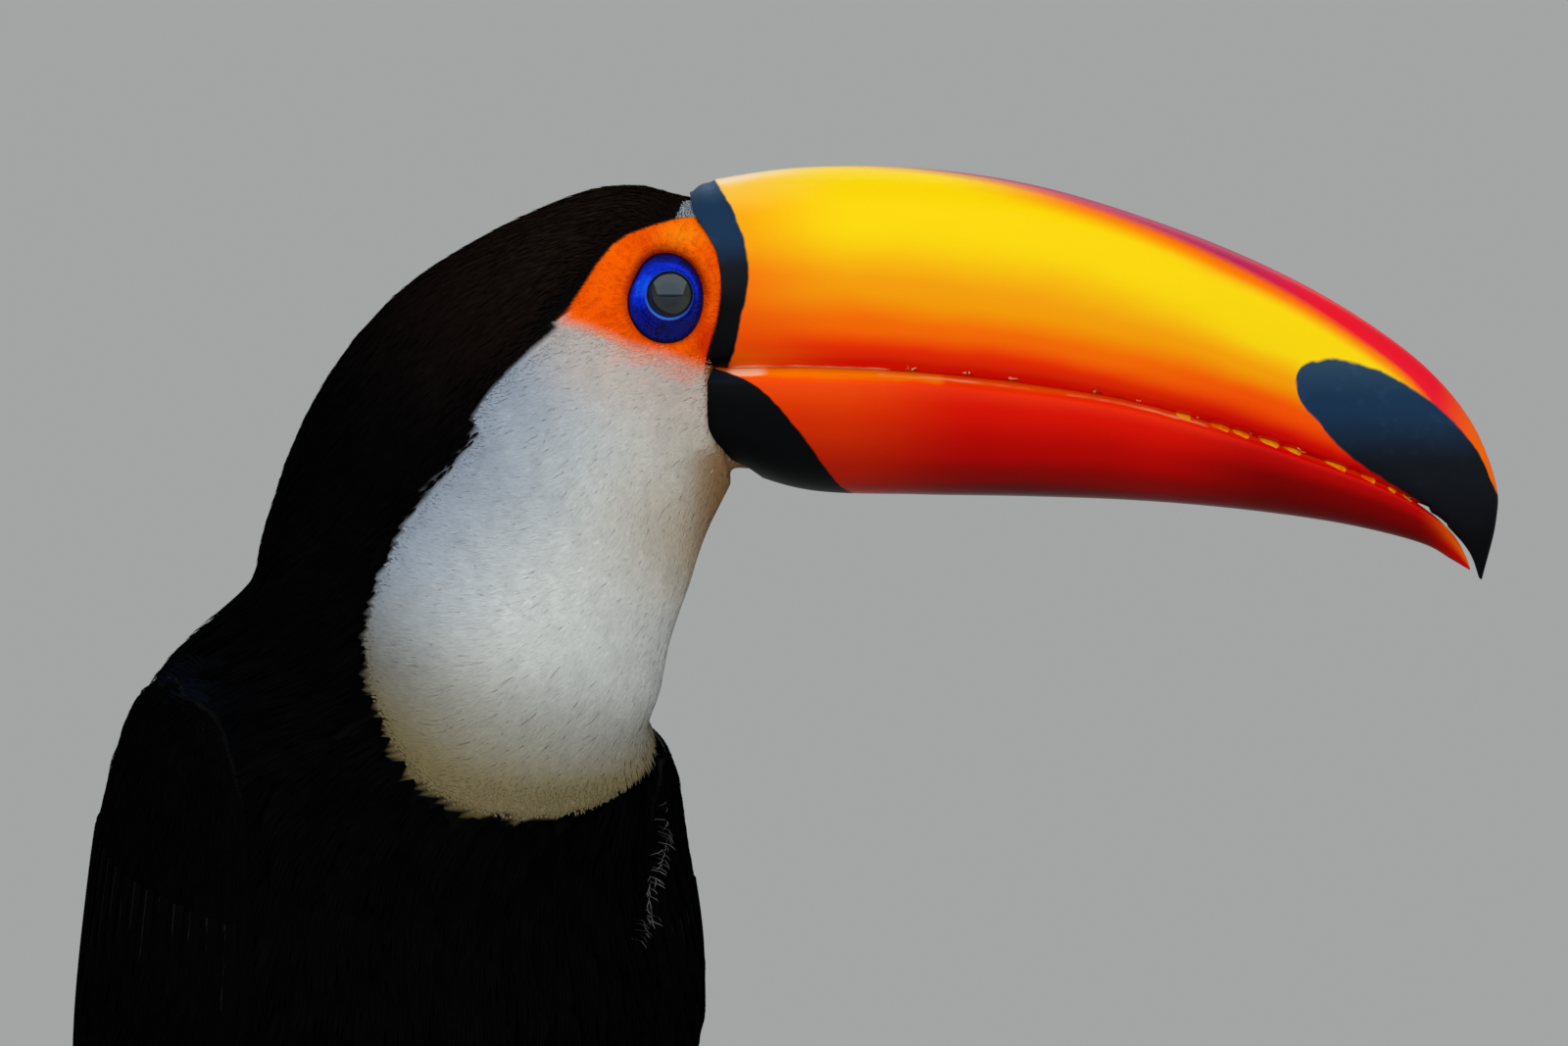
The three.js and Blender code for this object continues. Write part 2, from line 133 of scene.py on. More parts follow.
def onLoft(loft, station, angle):  # angle 0 is the back, 90 degrees the left, 180 the front
    station, angle = np.broadcast_arrays(np.asarray(station, float), np.asarray(angle, float))
    back, front, half, form = (through(loft[part], station) for part in ("back", "front", "half", "form"))
    c, s = -np.cos(angle), np.sin(angle)
    power = 2 / np.where(c < 0, form[..., 0], form[..., 1])
    along = form[..., 2] + np.sign(c) * np.abs(c) ** power * (1 - np.sign(c) * form[..., 2])
    across = np.sign(s) * np.abs(s) ** power
    return (back + front) / 2 + (front - back) / 2 * along[..., None] + half * across[..., None]


bodyStations = [
    (headFrame, (22, 20.5), (30, -41), 21, (2.5, 2.2, 0)),  # 0 snout, under the bill
    (headFrame, (4.4, 21.8), (15, -38), 22.4, (2.5, 2.2, 0)),  # 1 face
    (headFrame, (-7.3, 24.4), (13.2, -41.8), 24.6, (2.4, 2.1, 0)),
    (headFrame, (-20.3, 22.6), (11, -46.1), 27, (2.3, 2, 0)),  # 3 crown
    (headFrame, (-40.4, 13.7), (8.6, -51), 30.8, (2.2, 2, 0)),
    (headFrame, (-59.6, 1.2), (6.3, -57), 34, (2, 2, 0)),  # 5 nape
    (headFrame, (-74.9, -16.6), (3.8, -65), 36.5, (2, 2, 0)),
    ((-41.3, 0.5, 78), (-43.6, -35.6), (42, -74.4), 39.5, (2, 2, 0)),  # 7 neck
    ((-44.9, 3, 62), (-44.6, -49.5), (42.2, -88.5), 46, (2, 2, 0)),
    ((-50.2, 7, 46), (-42, -60), (43.7, -101), 47, (2, 2, 0)),  # 9 neck base
    ((-57.5, 14, 31), (-54.4, -75), (54.4, -113), 57, (2, 2, 0)),
    ((-60.4, 20, 21), (-58.6, -91), (58.6, -137), 60.6, (2, 2, 0)),  # 11 breast
    (trunkFrame, (-84, -121), (56.5, -170), 63.5, (2, 2, 0)),
    (trunkFrame, (-101, -148), (42, -203), 61, (2, 2, 0)),  # 13 belly
    (trunkFrame, (-116, -170), (12, -226), 54, (2, 2, 0)),
    (trunkFrame, (-132, -188), (-36, -234), 42, (2, 2, 0)),  # 15 rump
    (trunkFrame, (-148, -202), (-88, -230), 29, (2, 2, 0)),
    (trunkFrame, (-170, -213.5), (-138, -232), 21, (2, 2, 0)),  # 17 tail root
    (trunkFrame, (-211, -239), (-206, -248), 15, (2, 2, 0)),
]
bodyLoft = makeLoft(bodyStations)


def onBody(station, angle):
    return onLoft(bodyLoft, station, angle)


def surfaceOf(pointAt, u, v, facing=1, step=0.01):  # a surface's point, outward normal and two slopes
    alongU = (pointAt(u + step, v) - pointAt(u - step, v)) / (2 * step)
    alongV = (pointAt(u, v + step) - pointAt(u, v - step)) / (2 * step)
    return pointAt(u, v), facing * unit(np.cross(alongV, alongU)), alongU, alongV


# The folded wing: a lens on the flank. s runs from the wrist to the tip, v from the back edge (-1) to
# the belly edge (1).
wing = {
    "from": 9.7, "to": 16.6,  # stations of its wrist and its tip
    "blunt": 2.4,  # how square its ends are
    "proud": (6.2, 2.4),  # how far it stands out at the wrist, and how much less at the tip
    "coat": 2.6,  # the depth of its feathers
    "cover": 0.82,  # the share of its spread under which the body is bare
}


def wingStation(s):
    return wing["from"] + (wing["to"] - wing["from"]) * s


def alongWing(station):
    return (station - wing["from"]) / (wing["to"] - wing["from"])


def wingEnd(s):  # 0 at its two ends, 1 between
    return np.clip(1 - np.abs(1 - 2 * np.clip(s, 0, 1)) ** wing["blunt"], 0, 1) ** (1 / wing["blunt"])


def wingProud(s):
    return wing["proud"][0] - wing["proud"][1] * s


def wingMiddle(s):
    return 97 - 12 * s - 55 * s**3


def wingSpread(s):
    s = np.maximum(s, 0)
    return 46 - 18 * s**1.5 - 18 * s**4


def twistAt(station):
    left = through(bodyLoft["half"], station)
    return np.arctan2(left[..., 1], left[..., 0]) - math.radians(trunkFrame[2])


def onWing(side, s, v):
    s, v = np.broadcast_arrays(np.asarray(s, float), np.asarray(v, float))
    station = wingStation(s)
    end = wingEnd(s)
    angle = np.radians(side * (wingMiddle(s) + v * wingSpread(s) * np.maximum(end, 0.12))) + twistAt(station)
    point, normal, _, _ = surfaceOf(onBody, station, angle)
    proud = wingProud(s) * np.clip(1 - v * v, 0, 1) ** 0.35 * end
    return point + normal * proud[..., None]


# Markings, as distances in millimetres (positive inside) or as shares.
bib = {  # half its width round the front, in degrees, by body station
    "stations": [0, 3.9, 4.2, 5.2, 5.58, 5.66, 6.5, 7, 7.4, 7.72, 8, 8.32, 8.58, 8.85, 9.06, 9.29, 9.54, 9.82,
                 9.96, 10.06, 10.1, 10.13],
    "halfAngles": [111, 110.5, 108.5, 109.5, 109, 104.5, 104, 102, 97.5, 92.5, 88, 82.5, 76.5, 69.5, 61, 51.5,
                   40.5, 30, 22.5, 15.5, 4, -20],
    "inset": 1.6,  # degrees that the roots keep inside its edge
    "foot": (10.1, 14),  # station of its lowest point, and millimetres to a station there
    "tufts": 30000, "barbs": 3, "pieces": 3,
    "lengths": ([0, 2, 4, 6, 8, 9, 10], [2.2, 2.8, 3.8, 4.6, 4.8, 4.2, 3.4]),
}
plumage = {
    # the bluish grey, the grey near the face, the sand and the tan carry painted shade of the bib; the lore's
    # pale grey is painted lighter against the shadow of the bill's band
    "white": srgb(208, 210, 207), "blue": srgb(138, 150, 166), "shadeNearFace": srgb(194, 182, 174),
    "sand": srgb(184, 162, 130), "tan": srgb(106, 90, 38), "pink": srgb(232, 160, 142),
    "apricot": srgb(250, 124, 56), "amber": srgb(140, 92, 30), "lore": srgb(202, 210, 218),
    # the shoulder colour is a painted sheen, a bluish reflection of the sky
    "crown": srgb(27, 19, 15), "black": srgb(5, 5, 6), "shoulder": srgb(9, 14, 22),
    "red": srgb(176, 22, 14), "rump": srgb(222, 219, 210),
}
cheek = 9  # distance from the midplane past which a point is on the side of the head
faceOutline = [  # bare skin round the eye, in the head's side plane (forward, height)
    (2.8, 17.2), (-3.5, 15.4), (-9.3, 13.3), (-12.5, 11.1), (-16, 6.8), (-18.6, 2.5), (-21.4, -1.8),
    (-23.1, -5.7), (-18.1, -7.2), (-12.7, -9.4), (-7.3, -11.6), (-0.9, -13.1), (6.9, -15.9),
    (14, -17), (18, 0), (13, 12), (7, 15.9), (5.5, 17.3),
]
loreOutline = [(3.2, 20.6), (6, 21.5), (9, 15.5), (5.6, 16.6), (4.5, 17.2), (1.6, 17.0)]


def insideBy(outline, x, z):  # signed distance to an outline, positive inside
    corners = np.array(outline, float)
    nearest = np.full(np.shape(x), 1e9)
    crossings = np.zeros(np.shape(x), bool)
    for (ax, az), (bx, bz) in zip(corners, np.roll(corners, -1, axis=0)):
        run, rise = bx - ax, bz - az
        share = np.clip(((x - ax) * run + (z - az) * rise) / (run**2 + rise**2), 0, 1)
        nearest = np.minimum(nearest, np.hypot(x - ax - share * run, z - az - share * rise))
        if rise != 0:
            crossings ^= ((az > z) != (bz > z)) & (x < ax + (z - az) * run / rise)
    return np.where(crossings, nearest, -nearest)


def bareFace(points):  # how far inside the bare skin of either side
    inside = insideBy(faceOutline, points[..., 0], points[..., 2])
    return np.where(np.abs(points[..., 1]) > cheek, inside, -30)


def fromFront(angle):  # degrees round from the front, positive on the right
    return (np.degrees(angle) % 360) - 180


def bibShare(station, angle):  # how far inside the white bib, in degrees round the front
    return np.interp(station, bib["stations"], bib["halfAngles"]) - np.abs(fromFront(angle))


def bibAside(station, angle):  # 0 at the middle of its front, 1 at its edge
    return np.abs(fromFront(angle)) / np.maximum(np.interp(station, bib["stations"], bib["halfAngles"]), 8)


def downTone(station, angle, points):  # the bib's colour, with painted shade in it
    share = bibAside(station, angle)
    outside = -bareFace(points)
    # painted shade: the upper bib is painted greyer near the bare face
    tone = blend(plumage["white"], plumage["shadeNearFace"], smooth(24, 3, outside) * smooth(6.4, 4.4, station))
    # sand on the throat under the bill: partly its own warm tint, partly painted shadow under the bill
    tone = blend(tone, plumage["sand"], 0.75 * smooth(7.2, 4.6, station) * smooth(0.8, 0.15, share))
    # painted shade: the bib's sides are painted bluish grey where they turn away from the light
    tone = blend(tone, plumage["blue"], 0.9 * smooth(0.5, 1.0, share) * smooth(3.5, 5, station))
    # the dark tan foot of the bib is partly its own yellowish tint, partly painted shade where it turns under
    return blend(tone, plumage["tan"], 0.9 * smooth(7.4, 9.8, station + 0.5 * share**2))


seam = np.array([  # where the face meets the bill
    (3.9, 29), (4.4, 23), (6, 17), (9.9, 10), (11, 3), (10.2, -5), (8, -13), (7.2, -20),
    (7.9, -28), (8.6, -32), (10.5, -34.6), (16.4, -37.6), (20, -40)], float)


def seamAt(height):
    fine = through(seam, np.linspace(0, len(seam) - 1, 200))
    return np.interp(-height, -fine[:, 1], fine[:, 0])


def tucked(points):  # in front of the seam the skin and its feathers draw in under the horn
    x, y, z = (points[..., i] for i in range(3))
    low = smooth(-22, -31, z)
    within = smooth(0.2 - 0.5 * low, 2.8 - 1.2 * low, x - seamAt(z)) * (x > -10)
    lift = (-8 - z) * (0.06 + 0.2 * smooth(-37, -32, z))
    return np.stack([x, y * (1 - (0.32 + 0.3 * low) * within), z + lift * within], axis=-1)


coatDepth = {"stations": [0, 2, 5, 8, 11, 14, 18], "depths": [0.7, 0.9, 1.3, 1.7, 2.3, 2.4, 1.8], "bib": 0.25}


def depthAt(station, angle, points):  # how deep the skin lies under the coat's tips
    deep = np.interp(station, coatDepth["stations"], coatDepth["depths"])
    deep = deep + (coatDepth["bib"] - deep) * smooth(-2, 3, bibShare(station, angle))
    return deep * (1 - smooth(-1.5, 1.2, bareFace(points)))


# Pieces
def asMesh(bm, name):
    mesh = bpy.data.meshes.new(name)
    bm.to_mesh(mesh)
    bm.free()
    return mesh


def dressed(mesh, name, material, slot, replaced=()):
    mesh.materials.clear()
    mesh.materials.append(material)
    mesh.polygons.foreach_set("use_smooth", np.ones(len(mesh.polygons), bool))
    piece = bpy.data.objects.new(name, mesh)
    bpy.context.scene.collection.objects.link(piece)
    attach(piece, "root")
    if replaced:
        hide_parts(*replaced)
    return piece


def remapped(around, along, pointAt):  # a ball whose rings and poles move to pointAt(way, angle, share)
    bm = bmesh.new()
    bmesh.ops.create_uvsphere(bm, u_segments=around, v_segments=along + 2, radius=1)
    bmesh.ops.recalc_face_normals(bm, faces=bm.faces)
    co = np.array([v.co for v in bm.verts])
    ring = np.rint(np.arccos(np.clip(co[:, 2], -1, 1)) / math.pi * (along + 2))
    angle = np.arctan2(co[:, 1], co[:, 0]) % (2 * math.pi)
    share = np.minimum(1, np.minimum(ring, along + 2 - ring))
    angle = np.where(share > 0, np.round(angle, 6), 0)
    moved = pointAt(np.clip((ring - 1) / along, 0, 1), angle, share)
    for v, at in zip(bm.verts, moved):
        v.co = at
    if bm.calc_volume(signed=True) < 0:
        bmesh.ops.reverse_faces(bm, faces=bm.faces)
    return bm


def coordinates(mesh):
    co = np.zeros(len(mesh.vertices) * 3)
    mesh.vertices.foreach_get("co", co)
    return co.reshape(-1, 3)


def setColour(mesh, name, colours):
    layer = mesh.color_attributes.new(name=name, type="FLOAT_COLOR", domain="POINT")
    layer.data.foreach_set("color", np.hstack([colours, np.ones((len(colours), 1))]).ravel())


def setShare(mesh, name, values):
    layer = mesh.attributes.new(name=name, type="FLOAT", domain="POINT")
    layer.data.foreach_set("value", np.ascontiguousarray(values, np.float32))


# Node helpers
def newMaterial(name, **sockets):
    material = bpy.data.materials.new(name)
    material.use_nodes = True
    shader = material.node_tree.nodes["Principled BSDF"]
    for socket, value in sockets.items():
        shader.inputs[socket.replace("_", " ")].default_value = value
    return material, material.node_tree, shader


def add(tree, kind, inputs=(), output=0, **settings):
    made = tree.nodes.new("ShaderNode" + kind)
    for key, value in settings.items():
        setattr(made, key, value)
    for key, value in dict(inputs).items():
        if isinstance(value, bpy.types.NodeSocket):
            tree.links.new(value, made.inputs[key])
        else:
            made.inputs[key].default_value = value
    return made.outputs[output]


def maths(tree, operation, first, second=0.0, clamp=False):
    return add(tree, "Math", {0: first, 1: second}, operation=operation, use_clamp=clamp)


def added(tree, first, second, clamp=False):
    return maths(tree, "ADD", first, second, clamp)


def minus(tree, first, second):
    return maths(tree, "SUBTRACT", first, second)


def times(tree, first, second):
    return maths(tree, "MULTIPLY", first, second)


def hypotenuse(tree, across, upward):
    return maths(tree, "SQRT", added(tree, times(tree, across, across), times(tree, upward, upward)))


def painted(tree, name):  # a colour that the mesh carries
    return add(tree, "Attribute", attribute_name=name)


def carried(tree, name):  # a number that the mesh carries
    return add(tree, "Attribute", output=2, attribute_name=name)


def between(tree, value, low, high):  # 0 at low, 1 at high
    return add(tree, "MapRange", {0: value, 1: low, 2: high}, interpolation_type="SMOOTHSTEP")


def mixed(tree, factor, first, second, kind="MIX"):
    colours = [list(c) + [1] if isinstance(c, (list, tuple)) else c for c in (first, second)]
    return add(tree, "Mix", {0: factor, 6: colours[0], 7: colours[1]}, 2, data_type="RGBA", blend_type=kind)


def ramp(tree, factor, stops):
    output = add(tree, "ValToRGB", {0: factor})
    band = output.node.color_ramp
    band.interpolation = "EASE"
    for i, (position, colour) in enumerate(stops):
        stop = band.elements[i] if i < 2 else band.elements.new(position)
        stop.position = position
        stop.color = list(colour) + [1]
    return output


def noise(tree, scale, detail=3, stretch=(1, 1, 1)):
    place = add(tree, "Mapping", {"Vector": add(tree, "TexCoord", output=3), "Scale": stretch})
    return add(tree, "TexNoise", {"Vector": place, "Scale": scale, "Detail": detail})


def pebbled(tree, scale):
    place = add(tree, "TexCoord", output=3)
    return add(tree, "TexVoronoi", {"Vector": place, "Scale": scale}, feature="SMOOTH_F1")


def bumped(tree, shader, height, strength, distance):
    made = add(tree, "Bump", {"Height": height, "Strength": strength, "Distance": distance})
    tree.links.new(made, shader.inputs["Normal"])


def curve(tree, value, points):  # a curve set through the given points in 0..1
    output = add(tree, "FloatCurve", {1: value})
    line = output.node.mapping.curves[0]
    for i, (x, y) in enumerate(points):
        if i < 2:
            line.points[i].location = (x, y)
        else:
            line.points.new(x, y)
    output.node.mapping.update()
    return output


print("frame and helpers ready")

# Camera: the bird's head in exact profile, level, from far off
view = {"distance": 6.0, "middle": (25.1, 0, -50.1), "width": 345.6, "sensor": 36}


def setCamera():
    lens = bpy.data.cameras.new("camera")
    lens.sensor_width = view["sensor"]
    lens.lens = view["sensor"] * view["distance"] / (view["width"] * mm)
    lens.clip_end = 40
    camera = bpy.data.objects.new("camera", lens)
    bpy.context.scene.collection.objects.link(camera)
    camera.location = Vector(world(np.array(view["middle"], float))) + Vector((0, -view["distance"], 0))
    camera.rotation_euler = (math.radians(90), 0, 0)
    bpy.context.scene.camera = camera


setCamera()

# Legs: tubes through points (forward, left, height over the floor, radius, height over width) of the
# trunk's frame. Each toe has its heading in degrees, its length and its radius.
legs = {
    "spacing": 46, "centre": (-14, 11), "back": 24, "heel": 51, "radius": 3.3, "foot": 5,
    "toes": {3: (10, 41, 3.6), 2: (-24, 31, 3.4), 4: (154, 36, 3.4), 1: (-142, 21, 3.2)},
    "bend": 5, "sole": 0.9, "clawLength": 13, "clawRadius": 2.3,
    "scute": 3.1, "groove": 0.28, "coverage": 0.1,
}


def footOf(side):
    return legs["centre"][0], legs["centre"][1] + side * legs["spacing"] / 2


def thighPath(side):
    forward, left = footOf(side)
    forward, left, height = forward - legs["back"], left - 3, legs["heel"]
    return [(forward + 30, left - 3, height + 56, 20), (forward + 20, left - 1, height + 36, 19),
            (forward + 9, left, height + 15, 14), (forward + 1.5, left, height + 3, 7)]


def shankPath(side):
    forward, left = footOf(side)
    heel = forward - legs["back"]
    return [(heel - 0.5, left - 3, legs["heel"] + 2.4, 3.9), (heel + 1.5, left - 3, legs["heel"] - 5, 4),
            (forward - 16.5, left - 2.1, 34, legs["radius"]), (forward - 9, left - 1.2, 20, legs["radius"]),
            (forward - 1.5, left, legs["foot"], legs["foot"] - 0.3)]


def toePath(side, digit):
    forward, left = footOf(side)
    heading, length, radius = legs["toes"][digit]
    points = []
    for s in np.linspace(0.06, 1, 7):
        bend = math.radians(heading - math.copysign(legs["bend"], heading) * s)
        thick = radius * (1 - 0.2 * s + 0.07 * math.cos(s * 6 * math.pi))
        reach = s * length
        points.append((forward + math.cos(bend) * reach, left + side * math.sin(bend) * reach,
                       thick - legs["sole"], thick))
    return points


def clawPath(side, digit):
    forward, left = footOf(side)
    heading, length, _ = legs["toes"][digit]
    way = math.radians(heading - math.copysign(legs["bend"], heading))
    points = []
    for s in (-0.22, 0, 0.3, 0.6, 0.85, 1):
        bare = max(0, s)
        reach = length + legs["clawLength"] * (0.06 + 0.78 * math.sin(s * 1.35))
        height = 3.6 + 1.5 * math.sin(s * 3) - 3.9 * bare**2.4
        radius = max(0.16, legs["clawRadius"] * 0.8 * (1 - bare**1.3))
        points.append((forward + math.cos(way) * reach, left + side * math.sin(way) * reach,
                       height, radius, 1.25))
    return points


def tubeMiddle(path, way):
    centres = np.array([placed(trunkFrame, p[0], p[1], p[2] + floorDrop) for p in path])
    at = np.asarray(way) * (len(path) - 1)
    tangent = unit(through(centres, at + 0.02) - through(centres, at - 0.02))
    sideways = unit(np.cross([0, 0, 1], tangent))
    return through(centres, at), tangent, sideways, np.cross(tangent, sideways)


def onTube(path, way, angle, share=1.0, lift=0.0):  # angle 0 is the top of a toe or the front of a shank
    middle, tangent, sideways, upward = tubeMiddle(path, way)
    sizes = np.array([(p[3], p[4] if len(p) > 4 else 1, 0) for p in path], float)
    size = through(sizes, np.asarray(way) * (len(path) - 1))
    reach = (size[..., 0] + lift) * share
    past = np.sign(np.asarray(way) - 0.5) * (1 - share) * size[..., 0] * 0.45
    return (middle + tangent * past[..., None] + sideways * (np.sin(angle) * reach)[..., None]
            + upward * (np.cos(angle) * reach * size[..., 1])[..., None])


def onFloor(points):  # nothing goes below the floor
    points[:, 2] = np.maximum(points[:, 2], floorDrop)
    return points


def scuted(path, length):  # plates across the top, small scales below
    def pointAt(way, angle, share):
        across = way * length / legs["scute"]
        line = np.abs(across - np.rint(across)) * legs["scute"]
        plate = smooth(-legs["coverage"], 0.35, np.cos(angle))
        lift = -legs["groove"] * (1 - smooth(0.1, 0.55, line)) * plate
        side = np.abs(np.degrees(np.arccos(np.clip(np.cos(angle), -1, 1))) - 82)
        lift = lift - 0.14 * (1 - smooth(2, 9, side))
        return world(onFloor(onTube(path, way, angle, share, lift)))
    return pointAt


def thighTube(path):
    def pointAt(way, angle, share):
        return world(onTube(path, way, angle, share, -2.2))
    return pointAt


def clawTube(path):
    def pointAt(way, angle, share):
        return world(onFloor(onTube(path, way, angle, share)))
    return pointAt


def overBody(way, angle, share):
    station = way * bodyLoft["last"]
    angle = np.where(share > 0, angle, 0)
    point, normal, _, _ = surfaceOf(onBody, station, angle)
    middle = (onBody(station, 0) + onBody(station, math.pi)) / 2
    point = point - normal * depthAt(station, angle, point)[:, None]
    return world(np.where(share[:, None] > 0, point, middle))


def wingLens(side):
    def pointAt(way, angle, share):
        s = 0.012 + 0.976 * way
        v = np.sin(angle) * np.where(share > 0, 1, 0)
        face = np.sign(np.cos(angle)) * np.abs(np.cos(angle)) ** 0.7 * np.where(share > 0, 1, 0)
        end = wingEnd(s)
        station = wingStation(s)
        around = np.radians(side * (wingMiddle(s) + v * end * wingSpread(s) * 0.97)) + twistAt(station)
        point, normal, _, _ = surfaceOf(onBody, station, around)
        lift = np.where(face > 0, np.maximum(wingProud(s) - wing["coat"], 1.4), 6.5) * face * end
        return world(point + normal * (lift - 0.8)[:, None])
    return pointAt


def joined(first, others):  # one closed solid of several
    bpy.context.scene.collection.objects.link(first)
    for other in others:
        bpy.context.scene.collection.objects.link(other)
        union = first.modifiers.new("join", "BOOLEAN")
        union.operation = "UNION"
        union.solver = "MANIFOLD"
        union.object = other
    mesh = bpy.data.meshes.new_from_object(first.evaluated_get(bpy.context.evaluated_depsgraph_get()))
    for part in [first, *others]:
        bpy.data.objects.remove(part)
    return mesh


def loose(bm, name):
    return bpy.data.objects.new(name, asMesh(bm, name))


def makeSkinMesh():
    body = loose(remapped(146, 268, overBody), "body")
    limbs = []
    for side in sides.values():
        limbs.append(loose(remapped(40, 60, wingLens(side)), "wing"))
        limbs.append(loose(remapped(32, 32, thighTube(thighPath(side))), "thigh"))
        limbs.append(loose(remapped(32, 120, scuted(shankPath(side), 56)), "shank"))
        for digit in legs["toes"]:
            length = legs["toes"][digit][1]
            limbs.append(loose(remapped(24, int(length * 2.5), scuted(toePath(side, digit), length)), "toe"))
    return joined(body, limbs)


# Face skin: folds round the eye ring, and the tuck under the bill
ring = {"middle": (-1.0, -0.7), "halfWidth": 8.4, "halfHeight": 9.8, "opening": 5.1}


def bump(turn, at, width):  # round a circle
    return np.exp(-(((turn - at + math.pi) % (2 * math.pi) - math.pi) / width) ** 2)


def ringForm(turn):  # flatter at its upper back, fuller at its lower front
    return 1 - 0.1 * bump(turn, 2.6, 0.5) + 0.03 * bump(turn, 5.3, 0.5)


def ringPlace(points):  # share of the way to the ring's outer edge, and how far above the eye
    x = (points[..., 0] - ring["middle"][0]) / ring["halfWidth"]
    z = (points[..., 2] - ring["middle"][1]) / ring["halfHeight"]
    turn = np.arctan2(z, x)
    share = np.where(np.abs(points[..., 1]) > cheek, np.hypot(x, z) / ringForm(turn), 9)
    return share, smooth(-0.2, 0.8, np.sin(turn))


def waves(points, size, seed):  # cheap smooth noise, about -1 to 1
    rng = np.random.default_rng(seed)
    total = np.zeros(points.shape[:-1])
    for _ in range(7):
        direction = unit(rng.normal(size=3)) / size * rng.uniform(0.6, 1.6)
        total = total + np.sin(points @ direction * 2 * math.pi + rng.uniform(0, 6.28))
    return total / 3.2


def foldFace(mesh):
    points = fromEyes(coordinates(mesh))
    normals = np.zeros(len(points) * 3)
    mesh.vertices.foreach_get("normal", normals)
    normals = normals.reshape(-1, 3)
    bare = smooth(-1.0, 1.0, bareFace(points))
    q, above = ringPlace(points)
    swell = (0.45 + 0.85 * above) * np.exp(-((q - 1.27) / 0.14) ** 2)
    crease = -(0.6 + 0.5 * above) * np.exp(-((q - 1.02) / 0.09) ** 2)
    folds = 0.1 * np.sin(q * 22 + 2.6 * waves(points, 8, 3)) * smooth(0.2, 0.9, waves(points, 12, 4))
    backFold = insideBy([(-9, 4), (-19.5, -4.5), (-19.2, -5.2), (-8.6, 3.2)], points[:, 0], points[:, 2])
    folds = folds * smooth(2.6, 1.2, q) - 0.28 * np.exp(-((backFold / 0.9) ** 2)) * (q > 1.1)
    pebbles = 0.05 * waves(points, 1.2, 5) + 0.05 * waves(points, 2.4, 6) + 0.045 * waves(points, 0.75, 7)
    lift = bare * (swell + crease + folds * (q > 1) + pebbles)
    socket = 1 - smooth(0.72, 0.99, q)
    side = np.sign(points[:, 1:2]) * np.array([[0, 1, 0]])
    points = tucked(points + normals * lift[:, None] - side * (5.5 * socket)[:, None])
    mesh.vertices.foreach_set("co", world(points).ravel())
    mesh.update()


def refineFace(mesh):  # finer faces on the bare skin
    bm = bmesh.new()
    bm.from_mesh(mesh)
    middles = fromEyes(np.array([f.calc_center_median() for f in bm.faces]))
    fine = (bareFace(middles) > -1.5) & (middles[:, 0] < 14)
    edges = {e for f, chosen in zip(bm.faces, fine) if chosen for e in f.edges}
    bmesh.ops.subdivide_edges(bm, edges=list(edges), cuts=2, use_grid_fill=True)
    bmesh.ops.triangulate(bm, faces=[f for f in bm.faces if len(f.verts) > 4])
    bm.to_mesh(mesh)
    bm.free()


def bodyPlaces(points):  # nearest station and angle of each point
    stations, angles = np.meshgrid(np.linspace(0, 18, 361), np.radians(np.arange(0, 360, 2)), indexing="ij")
    samples = onBody(stations, angles).reshape(-1, 3)
    tree = KDTree(len(samples))
    for i, sample in enumerate(samples):
        tree.insert(sample, i)
    tree.balance()
    found = np.array([tree.find(p)[1] for p in points])
    return stations.ravel()[found], angles.ravel()[found]


tones = {
    "orange": srgb(252, 98, 0), "orangeDeep": srgb(216, 52, 0), "orangeHighlight": srgb(255, 140, 10),
    "creaseShade": srgb(110, 14, 0), "blackSkin": srgb(7, 7, 8),
    "legs": srgb(84, 104, 118), "sole": srgb(118, 128, 128),
    "amber": srgb(150, 98, 30), "umber": srgb(34, 18, 10),
}


def paintSkin(mesh):
    points = fromEyes(coordinates(mesh))
    x, z = points[:, 0], points[:, 2]
    station, angle = bodyPlaces(points)
    low = smooth(-2, -6, z)
    bare = smooth(-0.25 - 2.2 * low, 0.25 + 1.6 * low, bareFace(points))
    # painted light: the skin under the down is painted a tenth lighter than the down, against the shade in
    # the gaps between the ribbons
    down = 1.1 * downTone(station, angle, points)
    colour = blend(tones["blackSkin"], down, smooth(-0.6, 0.6, bibShare(station, angle)))
    q, above = ringPlace(points)
    depth = np.clip(0.5 + 0.5 * waves(points, 14, 11), 0, 1)
    # painted shade: darker orange next to the ring and in the crease at its lower front; the waves are the
    # skin's own mottling
    near = np.exp(-np.maximum(q - 1, 0) * 6)
    corner = np.exp(-(((x - 8.5) / 2.2) ** 2) - ((z + 11) / 4) ** 2)
    mottleAndShade = np.clip(0.4 * depth + 0.4 * near + 0.8 * corner, 0, 1)
    # painted highlight: a paler orange patch at the top front of the bare skin
    paintedHighlight = 0.8 * np.exp(-(((x - 3) / 5) ** 2) - ((z - 13.5) / 3.2) ** 2)
    orange = blend(tones["orange"], tones["orangeDeep"], mottleAndShade)
    orange = blend(orange, tones["orangeHighlight"], paintedHighlight)
    # painted shadow: dark red in the crease just above the ring, under the brow
    orange = blend(orange, tones["creaseShade"], 0.8 * above * np.exp(-(((q - 1.03) / 0.07) ** 2)))
    colour = blend(colour, orange, bare)
    edge = smooth(-0.1, 0.4, x - seamAt(z)) * (x > -10)
    colour = blend(colour, np.where(z[:, None] < -15.5, tones["amber"], tones["umber"]), edge)
    leg = smooth(floorDrop + 58, floorDrop + 53, z)
    shank = blend(tones["legs"], tones["sole"], smooth(floorDrop + 2.2, floorDrop + 0.6, z))
    setColour(mesh, "hide", blend(colour, shank, leg))
    setShare(mesh, "bare", bare * (1 - leg))


